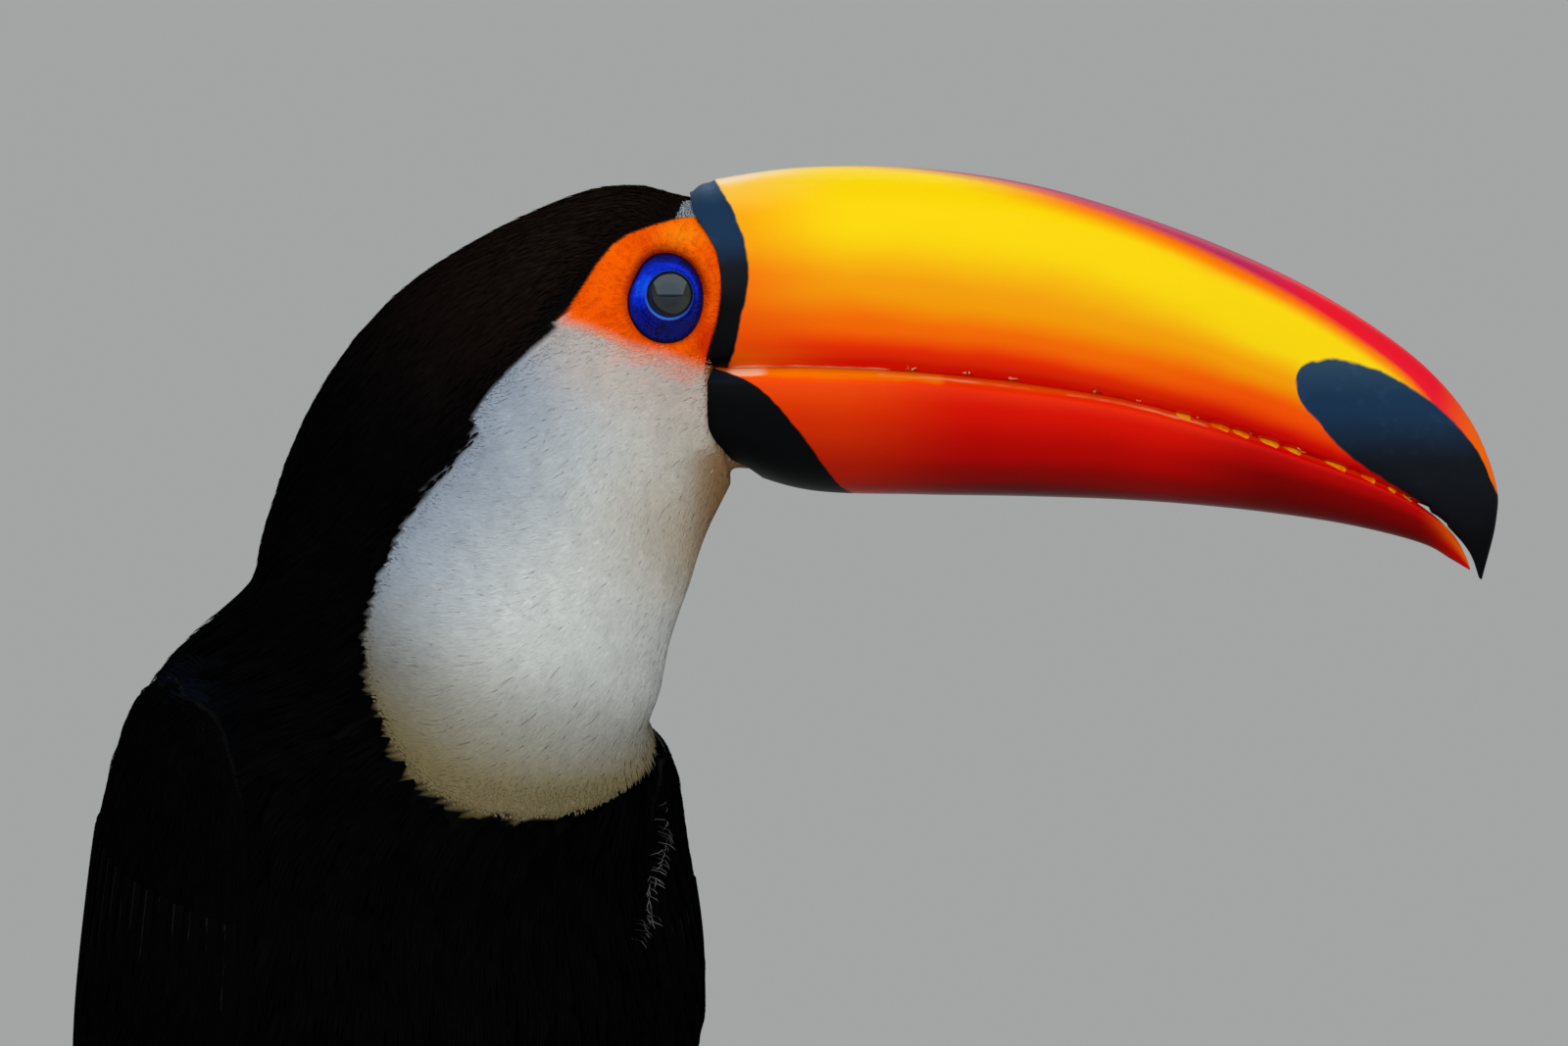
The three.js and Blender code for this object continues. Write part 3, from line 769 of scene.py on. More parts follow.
def skinMaterial():
    material, tree, shader = newMaterial("bare_skin", Roughness=0.5, Specular_IOR_Level=0.012)
    hide = painted(tree, "hide")
    bare = carried(tree, "bare")
    fine = noise(tree, 1500, 4)
    broad = noise(tree, 260, 4, (1, 1, 1.6))
    cells = pebbled(tree, 2300)
    # wrinkles that run out from the eye
    place = add(tree, "SeparateXYZ", {0: add(tree, "TexCoord", output=3)}).node
    across = minus(tree, place.outputs[0], eyeMiddle.x + ring["middle"][0] * mm)
    upward = minus(tree, place.outputs[2], eyeMiddle.z + ring["middle"][1] * mm)
    turn = maths(tree, "ARCTAN2", upward, across)
    reach = hypotenuse(tree, across, upward)
    spokes = add(tree, "CombineXYZ", {0: times(tree, maths(tree, "COSINE", turn), 12),
                                      1: times(tree, maths(tree, "SINE", turn), 12),
                                      2: times(tree, reach, 420)})
    wrinkles = add(tree, "TexNoise", {"Vector": spokes, "Scale": 1.0, "Detail": 3, "Distortion": 0.4})
    # the grooves and the hollows between the pebbles are painted darker: partly the skin's own darker flecks,
    # partly painted shade in the hollows
    grooves = times(tree, between(tree, wrinkles, 0.52, 0.36), bare)
    flecksAndShade = between(tree, added(tree, cells, times(tree, fine, 0.4)), 0.5, 1.0)
    darker = added(tree, times(tree, flecksAndShade, 0.42), times(tree, grooves, 0.3), clamp=True)
    shaded = mixed(tree, 1.0, hide, (0.8, 0.42, 0.25), "MULTIPLY")
    tree.links.new(mixed(tree, darker, hide, shaded), shader.inputs["Base Color"])
    height = added(tree, times(tree, cells, -0.5), times(tree, broad, 0.9))
    height = added(tree, height, times(tree, grooves, -0.5))
    bumped(tree, shader, height, 0.75, 0.0004)
    rough = add(tree, "MapRange", {0: fine, 3: 0.42, 4: 0.6})
    tree.links.new(rough, shader.inputs["Roughness"])
    return material


def makeSkin():
    mesh = makeSkinMesh()
    refineFace(mesh)
    foldFace(mesh)
    paintSkin(mesh)
    limbs = ("wing", "thigh", "shank", "toe_1", "toe_2", "toe_3", "toe_4")
    flesh = ["head", "neck", "trunk"] + [part + "_" + name for name in sides for part in limbs]
    return dressed(mesh, "skin", skinMaterial(), "face_skin", flesh)


skinPiece = makeSkin()
print("skin", len(skinPiece.data.polygons), "faces")


# Bill: two horn halves over the same stations as the solids, from the seam with its rolled edge
upperStations = [
    ((-6, 22.5), (-8, -16.8), 21), ((10, 25.7), (10, -16.8), 21.6), ((29.4, 28.3), (30, -16.5), 21.4),
    ((55, 28.1), (55, -17.6), 20.4), ((81, 24.2), (78, -20), 18.8), ((107, 16.4), (100.7, -23.7), 16.6),
    ((130, 7.2), (122.3, -29.5), 14), ((149, -2.9), (142, -36), 11.3), ((165.5, -14.8), (157, -41.8), 8.6),
    ((176.3, -27.3), (167.5, -47.6), 6.2), ((181.9, -40.8), (173, -52.6), 4),
    ((182, -50), (176.4, -57), 2.4), ((178.9, -62.6), (178.3, -62.2), 0.7),
]
lowerStations = [
    ((-8, -16.8), (2, -33), 19.6), ((10, -16.8), (17, -39), 20.4), ((30, -16.5), (32, -43), 19.9),
    ((55, -17.6), (55, -43.8), 18.6), ((78, -20), (78, -44.2), 17), ((100.7, -23.7), (100.7, -45), 14.8),
    ((122.3, -29.5), (122.3, -46.7), 12.2), ((142, -36), (142, -49.2), 9.4),
    ((157, -41.8), (156, -51.9), 6.9), ((167.3, -47.6), (166.5, -54.9), 4.6),
    ((172.6, -52.6), (172, -58), 2.8), ((175.3, -57.2), (174.9, -59.7), 1.5),
    ((176.3, -60), (176.3, -60.5), 0.5),
]
bill = {
    "drop": 0.49,  # between the two cutting edges
    "around": 112, "along": 430,
    "lip": [(3.4, 2.4), (2.0, 0.9), (0.85, 0.12), (0.22, -0.12)],  # the rolled edge: inset, forward
    "band": [(-17.5, 12.0), (-14.5, 13.4), (-10.5, 14.6), (-5, 15.6), (0, 16.9), (4, 17.3), (8, 17.0),
             (12.2, 16.3), (16, 14.8), (19, 13.7), (22, 11.9), (26, 9.6)],  # its front edge: height, forward
    "bandRise": 0.5,
    "patch": [(-46, 45), (-43.6, 40.4), (-42, 37.6), (-39.9, 35.7), (-37.7, 34), (-35.5, 32.5), (-33.4, 31),
              (-31.2, 29.5), (-29.1, 27.6), (-26.9, 25.9), (-24.7, 24), (-22.6, 22), (-20.4, 19.5),
              (-18.3, 15.8), (-16.2, 10)],  # the same, below
    "corner": (7.6, 2.9, 1.6),  # the ridge rounds down behind this, over this length, by so much
}
upperLoft = makeLoft([(headFrame, back, front, half, (2.15, 5, 0.3)) for back, front, half in upperStations])
lowerLoft = makeLoft([(headFrame, (back[0], back[1] - bill["drop"] * 0.25), front, half, (5, 1.8, -0.55))
                      for back, front, half in lowerStations])


def edgeAt(points, height):  # a marking's front edge by height
    line = np.array(points, float)
    return np.interp(height, line[:, 0], line[:, 1])


def seamStation(loft, angle):  # where the loft comes out of the face
    stations = np.linspace(0, 2.5, 251)
    table = np.radians(np.arange(0, 361, 2))
    points = onLoft(loft, stations[:, None], table[None, :])
    ahead = points[..., 0] > seamAt(points[..., 2]) + 0.2
    first = stations[np.argmax(ahead, axis=0)]
    first = (np.roll(first[:-1], 1) + first[:-1] + np.roll(first[:-1], -1)) / 3
    return np.interp(angle % (2 * math.pi), table, np.append(first, first[0]))


def evenWay(loft):  # stations at even steps of length
    stations = np.linspace(0, loft["last"], 400)
    middle = (onLoft(loft, stations, 0.0) + onLoft(loft, stations, math.pi)) / 2
    length = np.append(0, np.cumsum(np.linalg.norm(np.diff(middle, axis=0), axis=1)))
    return lambda at: np.interp(at, stations, length), lambda run: np.interp(run, length, stations)


notches = [  # worn places of the upper cutting edge: start, end, height
    (51, 54.6, 0.45), (63.6, 66.6, 0.35), (72.4, 77, 0.5), (92, 95.2, 0.5), (96.5, 100.5, 0.4),
    (106, 108, 0.35), (149.2, 151.9, 0.9), (164.4, 167.6, 0.9),
]
plates = [  # horn that wears off in overlapping plates: start, end
    (111, 114.5), (118.6, 123), (123.4, 127.4), (129.2, 134), (134.6, 138.9), (143.6, 148.8), (151.8, 155.3),
    (158, 159.8), (161, 163.4), (168, 171.5),
]


def sawAt(x, teeth):  # each tooth is steep in front and runs out behind
    height = np.zeros(np.shape(x))
    for start, end, tall in teeth:
        q = np.clip((x - start) / (end - start), 0, 1)
        tooth = tall * (0.2 + 0.8 * q) * np.clip(q * 4, 0, 1) * np.clip((1 - q) * 14, 0, 1)
        height = np.maximum(height, tooth)
    return height


def plateAt(x):
    return sawAt(x, [(start, end, 1.0) for start, end in plates])


def chipsAt(x):
    return np.maximum(sawAt(x, notches), 0.42 * plateAt(x))


def hornHalf(name, loft, upper):
    lengthAt, stationAt = evenWay(loft)
    lipRings = len(bill["lip"])
    along = bill["along"]

    def pointAt(way, angle, share):
        start = seamStation(loft, angle)
        run = np.clip((way * along - lipRings) / (along - lipRings), 0, 1)
        begin = lengthAt(start)
        station = stationAt(begin + (lengthAt(loft["last"]) - begin) * run)
        point, normal, _, _ = surfaceOf(lambda s, a: onLoft(loft, s, a), station, angle)
        centre = (onLoft(loft, station, 0.0) + onLoft(loft, station, math.pi)) / 2
        inward = unit(centre - point)
        ring = np.rint(way * along)
        for i, (inset, forward) in enumerate(bill["lip"]):
            here = (ring == i)[:, None]
            point = np.where(here, point + inward * inset + np.array([forward, 0, 0]), point)
        x, z = point[:, 0], point[:, 2]
        if upper:
            q = np.clip((x - seamAt(z)) / (edgeAt(bill["band"], z) - seamAt(z)), 0, 1)
            rise = bill["bandRise"] * (1 - np.abs(2 * q - 1) ** 5) * (q < 1)
            edge = smooth(2.4, 0.3, z - tomiumAt(x)) * (x < 176)
            corner, reach, down = bill["corner"]
            drop = down * np.clip((corner - x) / reach, 0, 1) ** 2 * smooth(10, 21, z)
            point = point + normal * rise[:, None]
            point[:, 2] += chipsAt(x) * edge * (ring > 8) - drop
        else:  # the middle of its top reaches up into the upper half, so that no light shows through
            half = np.interp(station, np.arange(len(lowerStations)), [s[2] for s in lowerStations])
            inner = smooth(0.93, 0.7, np.abs(point[:, 1]) / half) * (z > tomiumAt(x) - 1)
            point[:, 2] += 1.4 * inner * (ring > 4) * smooth(170, 150, x)
            rim = smooth(1.6, 0.2, tomiumAt(x) - z) * smooth(0.9, 0.97, np.abs(point[:, 1]) / half)
            point[:, 2] += 0.3 * plateAt(x) * rim
        return world(np.where(share[:, None] > 0, point, centre))

    return asMesh(remapped(bill["around"], along, pointAt), name)


tomium = through(np.array([front for back, front, half in upperStations], float), np.linspace(0, 12, 400))


def tomiumAt(x):
    return np.interp(x, tomium[:, 0], tomium[:, 1])


def paintHorn(mesh, upper):  # u runs along the bill, v from the ridge or keel to the cutting edge
    points = fromEyes(coordinates(mesh))
    x, z = points[:, 0], points[:, 2]
    stations = np.array(upperStations if upper else lowerStations, dtype=object)
    outer = np.array([s[0] if upper else s[1] for s in stations], float)
    inner = np.array([s[1] if upper else s[0] for s in stations], float)
    # which slanted line between the two outlines a point lies on
    share = np.linspace(0, len(stations) - 1, 500)
    outer, inner = through(outer, share), through(inner, share)
    tree = KDTree(len(outer) * 12)
    for i in range(len(outer)):
        for j, part in enumerate(np.linspace(0, 1, 12)):
            line = outer[i] + (inner[i] - outer[i]) * part
            tree.insert((line[0], 0, line[1]), i * 12 + j)
    tree.balance()
    nearest = np.array([tree.find((a, 0, b))[1] // 12 for a, b in zip(x, z)])
    span = inner[nearest] - outer[nearest]
    v = np.clip(((x - outer[nearest, 0]) * span[:, 0] + (z - outer[nearest, 1]) * span[:, 1])
                / np.maximum((span ** 2).sum(axis=1), 1e-6), 0, 1)
    setShare(mesh, "fromRidge", v)
    setShare(mesh, "along", np.clip((x - 4) / 178, 0, 1))
    setShare(mesh, "fromEdge", z - tomiumAt(x))
    setShare(mesh, "plate", plateAt(x))


horn = {
    "cream": srgb(255, 226, 190), "peach": srgb(255, 196, 70), "yellow": srgb(255, 216, 0),
    "amber": srgb(254, 160, 0), "orange": srgb(254, 108, 0), "red": srgb(226, 8, 0),
    "deepRed": srgb(168, 3, 0), "maroon": srgb(88, 1, 0),
    "magenta": srgb(186, 34, 84), "rose": srgb(240, 22, 44), "black": srgb(5, 6, 8), "navy": srgb(24, 50, 78),
    "slate": srgb(60, 86, 114), "coal": srgb(17, 20, 26),
}


def hornMaterial(upper):
    material, tree, shader = newMaterial("horn_upper" if upper else "horn_lower", Roughness=0.24,
                                         Specular_IOR_Level=0.045)
    v = carried(tree, "fromRidge")
    u = carried(tree, "along")
    place = add(tree, "SeparateXYZ", {0: add(tree, "TexCoord", output=3)}).node
    forward = times(tree, minus(tree, place.outputs[0], eyeMiddle.x), 1 / mm)
    height = times(tree, minus(tree, place.outputs[2], eyeMiddle.z), 1 / mm)
    streaks = noise(tree, 55, 5, (0.35, 3, 3))
    cloud = noise(tree, 26, 3, (0.7, 1.4, 1.4))
    wander = times(tree, minus(tree, cloud, 0.5), 0.2)
    shifted = added(tree, v, wander, clamp=True)
    if upper:
        # at the ridge near the base the cream and peach are partly the horn's pale tint, partly a painted
        # highlight of the sky
        base = ramp(tree, shifted, [(0.0, horn["cream"]), (0.08, horn["peach"]), (0.24, horn["amber"]),
                                    (0.55, horn["orange"]), (0.85, srgb(238, 76, 0)), (1.0, horn["orange"])])
        middle = ramp(tree, shifted, [(0.0, horn["yellow"]), (0.3, horn["yellow"]), (0.6, horn["amber"]),
                                      (0.77, horn["orange"]), (0.9, srgb(246, 44, 0)),
                                      (1.0, srgb(232, 10, 0))])
        far = ramp(tree, shifted, [(0.0, horn["orange"]), (0.2, horn["yellow"]), (0.44, horn["yellow"]),
                                   (0.62, horn["amber"]), (0.77, srgb(252, 84, 0)), (0.93, horn["red"]),
                                   (1.0, srgb(196, 4, 0))])
        colour = mixed(tree, between(tree, u, 0.02, 0.21), base, middle)
        colour = mixed(tree, between(tree, u, 0.5, 0.72), colour, far)
        stripe = curve(tree, u, [(0, 0), (0.14, 0.004), (0.3, 0.014), (0.48, 0.032), (0.6, 0.055),
                                 (0.72, 0.09), (0.82, 0.13), (0.9, 0.17), (1, 0.5)])
        over = minus(tree, stripe, v)
        soft = added(tree, times(tree, over, 26), 0.5, clamp=True)
        # the ridge stripe is red; towards the base it is painted magenta, a painted reflection of the bluish
        # sky on the red
        stripeColour = mixed(tree, between(tree, u, 0.66, 0.8), horn["magenta"], horn["rose"])
        stripeColour = mixed(tree, between(tree, u, 0.92, 0.99), stripeColour, horn["orange"])
        halo = times(tree, between(tree, over, -0.12, 0.0), between(tree, u, 0.3, 0.5))
        colour = mixed(tree, halo, colour, horn["orange"])
        colour = mixed(tree, times(tree, soft, between(tree, u, 0.16, 0.34)), colour, stripeColour)
    else:
        base = ramp(tree, shifted, [(0.0, srgb(170, 20, 0)), (0.2, srgb(200, 30, 0)), (0.6, srgb(228, 50, 0)),
                                    (0.9, srgb(242, 72, 0)), (1.0, horn["orange"])])
        middle = ramp(tree, shifted, [(0.0, horn["maroon"]), (0.15, srgb(150, 3, 0)), (0.4, srgb(196, 4, 0)),
                                      (0.75, srgb(222, 16, 0)), (0.93, srgb(234, 42, 0)),
                                      (1.0, srgb(246, 88, 0))])
        far = ramp(tree, shifted, [(0.0, srgb(100, 0, 0)), (0.5, srgb(130, 0, 0)), (0.8, srgb(178, 2, 0)),
                                   (0.95, srgb(216, 8, 0)), (1.0, srgb(234, 42, 0))])
        colour = mixed(tree, between(tree, u, 0.16, 0.36), base, middle)
        colour = mixed(tree, between(tree, u, 0.56, 0.74), colour, far)
        tip = times(tree, between(tree, u, 0.9, 0.98), 0.85)
        tipColour = mixed(tree, between(tree, v, 0.3, 0.8), horn["red"], horn["orange"])
        colour = mixed(tree, tip, colour, tipColour)
    darker = mixed(tree, 1.0, colour, (0.8, 0.62, 0.6), "MULTIPLY")
    colour = mixed(tree, times(tree, streaks, 0.16), colour, darker)
    colour = cuttingEdge(tree, colour, forward, upper)
    dark = darkMarks(tree, forward, height, upper)
    if upper:
        # painted sheen: the black band is painted through navy to slate towards its top, a reflection of the
        # sky above
        level = maths(tree, "DIVIDE", added(tree, height, 20), 46, clamp=True)
        band = ramp(tree, level, [(0.0, horn["black"]), (0.36, horn["black"]), (0.54, horn["coal"]),
                                  (0.72, horn["navy"]), (0.86, horn["navy"]), (1.0, horn["slate"])])
        # painted sheen: the black tip is painted navy towards its top in the same way
        low = maths(tree, "DIVIDE", added(tree, height, 58), 44, clamp=True)
        tip = ramp(tree, low, [(0.0, horn["black"]), (0.45, horn["coal"]), (0.78, horn["navy"]),
                               (1.0, srgb(42, 68, 90))])
        shade = mixed(tree, between(tree, forward, 60, 61), band, tip)
    else:
        # painted sheen: a thin bluish band along the top edge of the lower black patch
        shade = mixed(tree, between(tree, height, -20, -16.6), horn["black"], srgb(24, 34, 50))
    scuffs = times(tree, between(tree, noise(tree, 340, 4), 0.52, 0.7), 0.22)
    shade = mixed(tree, scuffs, shade, mixed(tree, 1.0, shade, (2.2, 2.0, 1.8), "MULTIPLY"))
    colour = mixed(tree, dark, colour, shade)
    tree.links.new(colour, shader.inputs["Base Color"])
    grain = added(tree, times(tree, streaks, 0.7), times(tree, noise(tree, 700, 3), 0.12))
    bumped(tree, shader, grain, 0.25, 0.0003)
    rough = added(tree, times(tree, dark, 0.2), add(tree, "MapRange", {0: cloud, 3: 0.18, 4: 0.3}))
    tree.links.new(rough, shader.inputs["Roughness"])
    return material


def cuttingEdge(tree, colour, forward, upper):  # pale and dark lines, and the worn plates, painted yellow with painted light through the thin horn
    ragged = times(tree, minus(tree, noise(tree, 330, 3, (0.5, 1, 1)), 0.5), 0.9)
    edge = added(tree, carried(tree, "fromEdge"), ragged)
    plate = carried(tree, "plate")

    def line(low, high, start, end, soft=0.1):  # 1 between two heights, from start to end
        inside = times(tree, between(tree, edge, low - soft, low + soft),
                       between(tree, edge, high + soft, high - soft))
        run = times(tree, between(tree, forward, start - 1, start + 1),
                    between(tree, forward, end + 1, end - 1))
        return times(tree, inside, run)

    if upper:
        colour = mixed(tree, times(tree, line(-0.4, 0.35, 10, 32), 0.8), colour, horn["deepRed"])
        return mixed(tree, times(tree, line(0.4, 0.95, 14, 48, 0.2), 0.75), colour, horn["cream"])
    colour = mixed(tree, times(tree, line(-1.2, 0.6, 13, 21, 0.3), 0.7), colour, horn["cream"])
    colour = mixed(tree, times(tree, line(-1.4, 0.6, 20, 60, 0.6), 0.5), colour, horn["amber"])
    broken = add(tree, "MapRange", {0: noise(tree, 90, 2), 1: 0.4, 2: 0.6})
    rim = times(tree, line(-0.75, -0.2, 46, 118), broken)
    colour = mixed(tree, times(tree, rim, 0.5), colour, srgb(255, 176, 130))
    # painted light: the worn plates along the lower cutting edge are painted yellow where light shines
    # through the thin horn
    low = times(tree, plate, -0.6)
    lit = times(tree, between(tree, minus(tree, edge, low), -0.1, 0.2), plate)
    wearAndGlow = mixed(tree, between(tree, noise(tree, 260, 2), 0.4, 0.6), horn["orange"], srgb(255, 186, 20))
    colour = mixed(tree, between(tree, lit, 0.05, 0.25), colour, wearAndGlow)
    return mixed(tree, line(-0.7, 2, 170, 180, 0.2), colour, horn["amber"])


spot = {  # the black tip: its top and bottom height by forward distance
    "top": [(137.6, -19.1), (138.6, -16.2), (140, -15), (142.6, -14.4), (145.2, -13.9), (150.3, -14.8),
            (155.5, -16.3), (160.7, -18.9), (165.9, -22.1), (171.1, -26.4), (176.3, -32.1), (178.8, -35.8),
            (181.4, -41.9), (184, -46)],
    "bottom": [(137.6, -19.2), (138.6, -23), (140, -25.2), (142.6, -27.8), (145.2, -31.2), (150.3, -36),
               (155.5, -39.6), (160.7, -42.9), (165.9, -46.5), (170, -52), (173, -60), (176, -66),
               (184, -66)],
}


def lineThrough(tree, value, points):  # a curve through (value, result) points
    line = np.array(points, float)
    low, high = line[0, 0], line[-1, 0]
    least, most = line[:, 1].min(), line[:, 1].max()
    share = maths(tree, "DIVIDE", minus(tree, value, low), high - low, clamp=True)
    shape = curve(tree, share, [((a - low) / (high - low), (b - least) / (most - least)) for a, b in points])
    return added(tree, times(tree, shape, most - least), least)


def darkMarks(tree, forward, height, upper):  # 1 on the blue-black markings
    jitter = times(tree, minus(tree, noise(tree, 420, 2), 0.5), 0.7)
    front = lineThrough(tree, height, bill["band"] if upper else bill["patch"])
    base = minus(tree, added(tree, front, jitter), forward)
    base = between(tree, base, -0.35, 0.35)
    if not upper:
        return base
    top, bottom = (lineThrough(tree, forward, spot[part]) for part in ("top", "bottom"))
    inside = maths(tree, "MINIMUM", minus(tree, top, height), minus(tree, height, bottom))
    inside = maths(tree, "MINIMUM", inside, minus(tree, forward, spot["top"][0][0]))
    wobble = times(tree, jitter, 1.2)
    return maths(tree, "MAXIMUM", base, between(tree, added(tree, inside, wobble), -0.4, 0.5))


def makeBill():
    for name, loft, upper in (("upper_bill", upperLoft, True), ("lower_bill", lowerLoft, False)):
        mesh = hornHalf("horn_" + name, loft, upper)
        paintHorn(mesh, upper)
        dressed(mesh, "horn_" + name, hornMaterial(upper), name, [name])


makeBill()
print("bill")


# Eyes and their blue rings
eye = {"radius": 8.2, "spacing": 34, "cornea": 0.35, "pupil": 2.4}
ringProfile = [  # from the outer foot (1) to the opening (0), with the height over the base
    (1.04, -1.6), (1.03, -0.45), (0.985, 0.3), (0.88, 0.85), (0.68, 1.0), (0.45, 0.78), (0.27, 0.5),
    (0.17, 0.66), (0.08, 0.68), (0.01, 0.35), (-0.03, -0.3), (-0.02, -1.4), (0.5, -2.2),
]


def eyeMaterial():
    material, tree, shader = newMaterial("eye_gloss", Roughness=0.03, Specular_IOR_Level=0.75,
                                         Specular_Tint=(0.66, 0.84, 1.0, 1))
    place = add(tree, "SeparateXYZ", {0: add(tree, "TexCoord", output=3)})
    x = minus(tree, place.node.outputs[0], eyeMiddle.x)
    z = minus(tree, place.node.outputs[2], eyeMiddle.z)
    reach = times(tree, hypotenuse(tree, x, z), 1 / mm)
    fibres = noise(tree, 1400, 4)
    iris = mixed(tree, fibres, srgb(20, 18, 8), srgb(44, 40, 14))
    iris = mixed(tree, between(tree, reach, 4.4, 5.2), iris, srgb(14, 12, 14))
    colour = mixed(tree, between(tree, reach, eye["pupil"] - 0.4, eye["pupil"] + 0.9), srgb(8, 7, 9), iris)
    tree.links.new(colour, shader.inputs["Base Color"])
    return material


def ringMaterial():
    material, tree, shader = newMaterial("ring_skin", Roughness=0.32, Specular_IOR_Level=0.06)
    rim = carried(tree, "rim")
    mottle = noise(tree, 420, 3)
    # painted light and shade: the ring's blue runs from dark to bright with the glow share
    glow = carried(tree, "glow")
    glow = added(tree, glow, times(tree, minus(tree, mottle, 0.5), 0.5), clamp=True)
    blue = ramp(tree, glow, [(0.0, srgb(1, 2, 62)), (0.3, srgb(0, 10, 120)), (0.65, srgb(0, 36, 196)),
                             (1.0, srgb(14, 78, 240))])
    # painted highlight: a pale blue line along the inner rim, strongest at its lower back
    lid = carried(tree, "lid")
    shaded = mixed(tree, times(tree, between(tree, rim, 0.13, 0.04), lid), blue, srgb(74, 130, 246))
    # painted shade: the ring's outer foot, where it meets the skin, is painted nearly black-blue
    shaded = mixed(tree, between(tree, rim, 0.88, 1.0), shaded, srgb(1, 3, 34))
    tree.links.new(shaded, shader.inputs["Base Color"])
    cells = pebbled(tree, 1700)
    bumped(tree, shader, added(tree, times(tree, cells, -0.8), mottle), 0.9, 0.0004)
    return material


def headSide(x, z, side):  # the body surface's distance from the midplane at a place of the head's side
    station, angle = np.full(x.shape, 2.2), np.full(x.shape, math.pi / 2 * side) % (2 * math.pi)
    for _ in range(12):
        point, _, alongU, alongV = surfaceOf(onBody, station, angle)
        dx, dz = x - point[:, 0], z - point[:, 2]
        det = alongU[:, 0] * alongV[:, 2] - alongV[:, 0] * alongU[:, 2]
        station = station + np.clip((dx * alongV[:, 2] - dz * alongV[:, 0]) / det, -0.5, 0.5)
        angle = angle + np.clip((dz * alongU[:, 0] - dx * alongU[:, 2]) / det, -0.3, 0.3)
    return onBody(station, angle)[:, 1]


def ringGlow(turn, b):  # painted light: brightest behind the eye and along the inner edge over it, painted darker below as shade
    inner = np.exp(-(((b - 0.34) / 0.24) ** 2))
    return (0.08 + 0.86 * bump(turn, 2.8, 0.75) * smooth(1.05, 0.6, b)
            + inner * (0.6 * bump(turn, 1.3, 0.9) + 0.35 * bump(turn, 0, 0.8)))


def makeEyes():  # a smooth ball behind a raised ring
    glossy, blue = eyeMaterial(), ringMaterial()
    loop = np.array(ringProfile + ringProfile[:3], float)
    for name, side in sides.items():
        bm = bmesh.new()
        bmesh.ops.create_uvsphere(bm, u_segments=64, v_segments=48, radius=eye["radius"])
        for v in bm.verts:
            front = max(0, side * v.co.y / eye["radius"])
            v.co.y += side * eye["cornea"] * smooth(0.8, 1.0, front)
            v.co = (v.co + Vector((0, side * eye["spacing"] / 2, 0))) * mm + eyeMiddle
        dressed(asMesh(bm, "eyeball_" + name), "eyeball_" + name, glossy, "eye", ["eye_" + name])

        bm = bmesh.new()
        bmesh.ops.create_circle(bm, segments=36, radius=0.25)
        bmesh.ops.rotate(bm, verts=bm.verts, matrix=Matrix.Rotation(math.radians(90), 3, "X"))
        bmesh.ops.translate(bm, verts=bm.verts, vec=(1, 0, 0))
        bmesh.ops.spin(bm, geom=bm.edges[:] + bm.verts[:], axis=(0, 0, 1), cent=(0, 0, 0),
                       angle=2 * math.pi, steps=112, use_merge=True)
        co = np.array([v.co for v in bm.verts])
        turn = np.arctan2(co[:, 1], co[:, 0])
        around = np.arctan2(co[:, 2], np.hypot(co[:, 0], co[:, 1]) - 1) / (2 * math.pi) % 1
        profile = through(loop, around * len(ringProfile) + 1)
        b, h = profile[:, 0], profile[:, 1]
        inner = np.stack([np.cos(turn), np.sin(turn)], axis=1) * ring["opening"]
        form = ringForm(turn)
        outer = np.stack([ring["middle"][0] + np.cos(turn) * ring["halfWidth"] * form,
                          ring["middle"][1] + np.sin(turn) * ring["halfHeight"] * form], axis=1)
        flat = inner * (1 - b[:, None]) + outer * b[:, None]
        onEye = eye["spacing"] / 2 + math.sqrt(eye["radius"] ** 2 - ring["opening"] ** 2) + 0.05
        onSkin = np.abs(headSide(outer[:, 0], outer[:, 1], side)) - 0.2
        base = onEye * (1 - np.clip(b, 0, 1)) + onSkin * np.clip(b, 0, 1)
        y = base + h
        points = np.stack([flat[:, 0], side * y, flat[:, 1]], axis=1)
        papillae = 0.05 * waves(points, 0.55, 9) * smooth(0.2, 0.5, b)
        points[:, 1] += side * papillae
        for v, at in zip(bm.verts, world(points)):
            v.co = at
        bmesh.ops.recalc_face_normals(bm, faces=bm.faces)
        mesh = asMesh(bm, "eye_ring_" + name)
        setShare(mesh, "rim", np.clip(b, 0, 1))
        # the share of painted light on the ring: bright above and behind the eye, dark below
        setShare(mesh, "glow", ringGlow(turn, b))
        # the share of the painted highlight on the inner rim
        setShare(mesh, "lid", 0.2 + 0.6 * bump(turn, -2.2, 1.3))
        dressed(mesh, "eye_ring_" + name, blue, "eye_ring", ["eyelids_" + name])


makeEyes()
print("eyes")


def makeClaws():
    material, tree, shader = newMaterial("claw_horn", Roughness=0.32)
    streaks = noise(tree, 200, 4)
    tree.links.new(mixed(tree, streaks, srgb(20, 18, 18), srgb(58, 54, 52)), shader.inputs["Base Color"])
    bumped(tree, shader, streaks, 0.3, 0.0002)
    for name, side in sides.items():
        whole = bmesh.new()
        for digit in legs["toes"]:
            mesh = asMesh(remapped(18, 26, clawTube(clawPath(side, digit))), "claw")
            whole.from_mesh(mesh)
            bpy.data.meshes.remove(mesh)
        replaced = ["claw_%d_%s" % (digit, name) for digit in legs["toes"]]
        dressed(asMesh(whole, "claws_" + name), "claws_" + name, material, "claw", replaced)


makeClaws()
print("claws")


# Studio: a pale floor, a pale sky, and soft lamps
studio = {
    "floor": 4.2, "paint": [srgb(196, 195, 192), srgb(203, 202, 200)],
    "sky": srgb(214, 216, 216), "skyStrength": 0.55,
    "lamps": [  # name, place from the eyes, width and height, watts
        ("key", (0.05, -1.55, 1.2), (5.4, 2.9), 60),
        ("rim", (0.2, 1.5, 1.6), (1.6, 1.6), 8),
    ],
    "lampColour": (0.94, 0.98, 1.0),
}


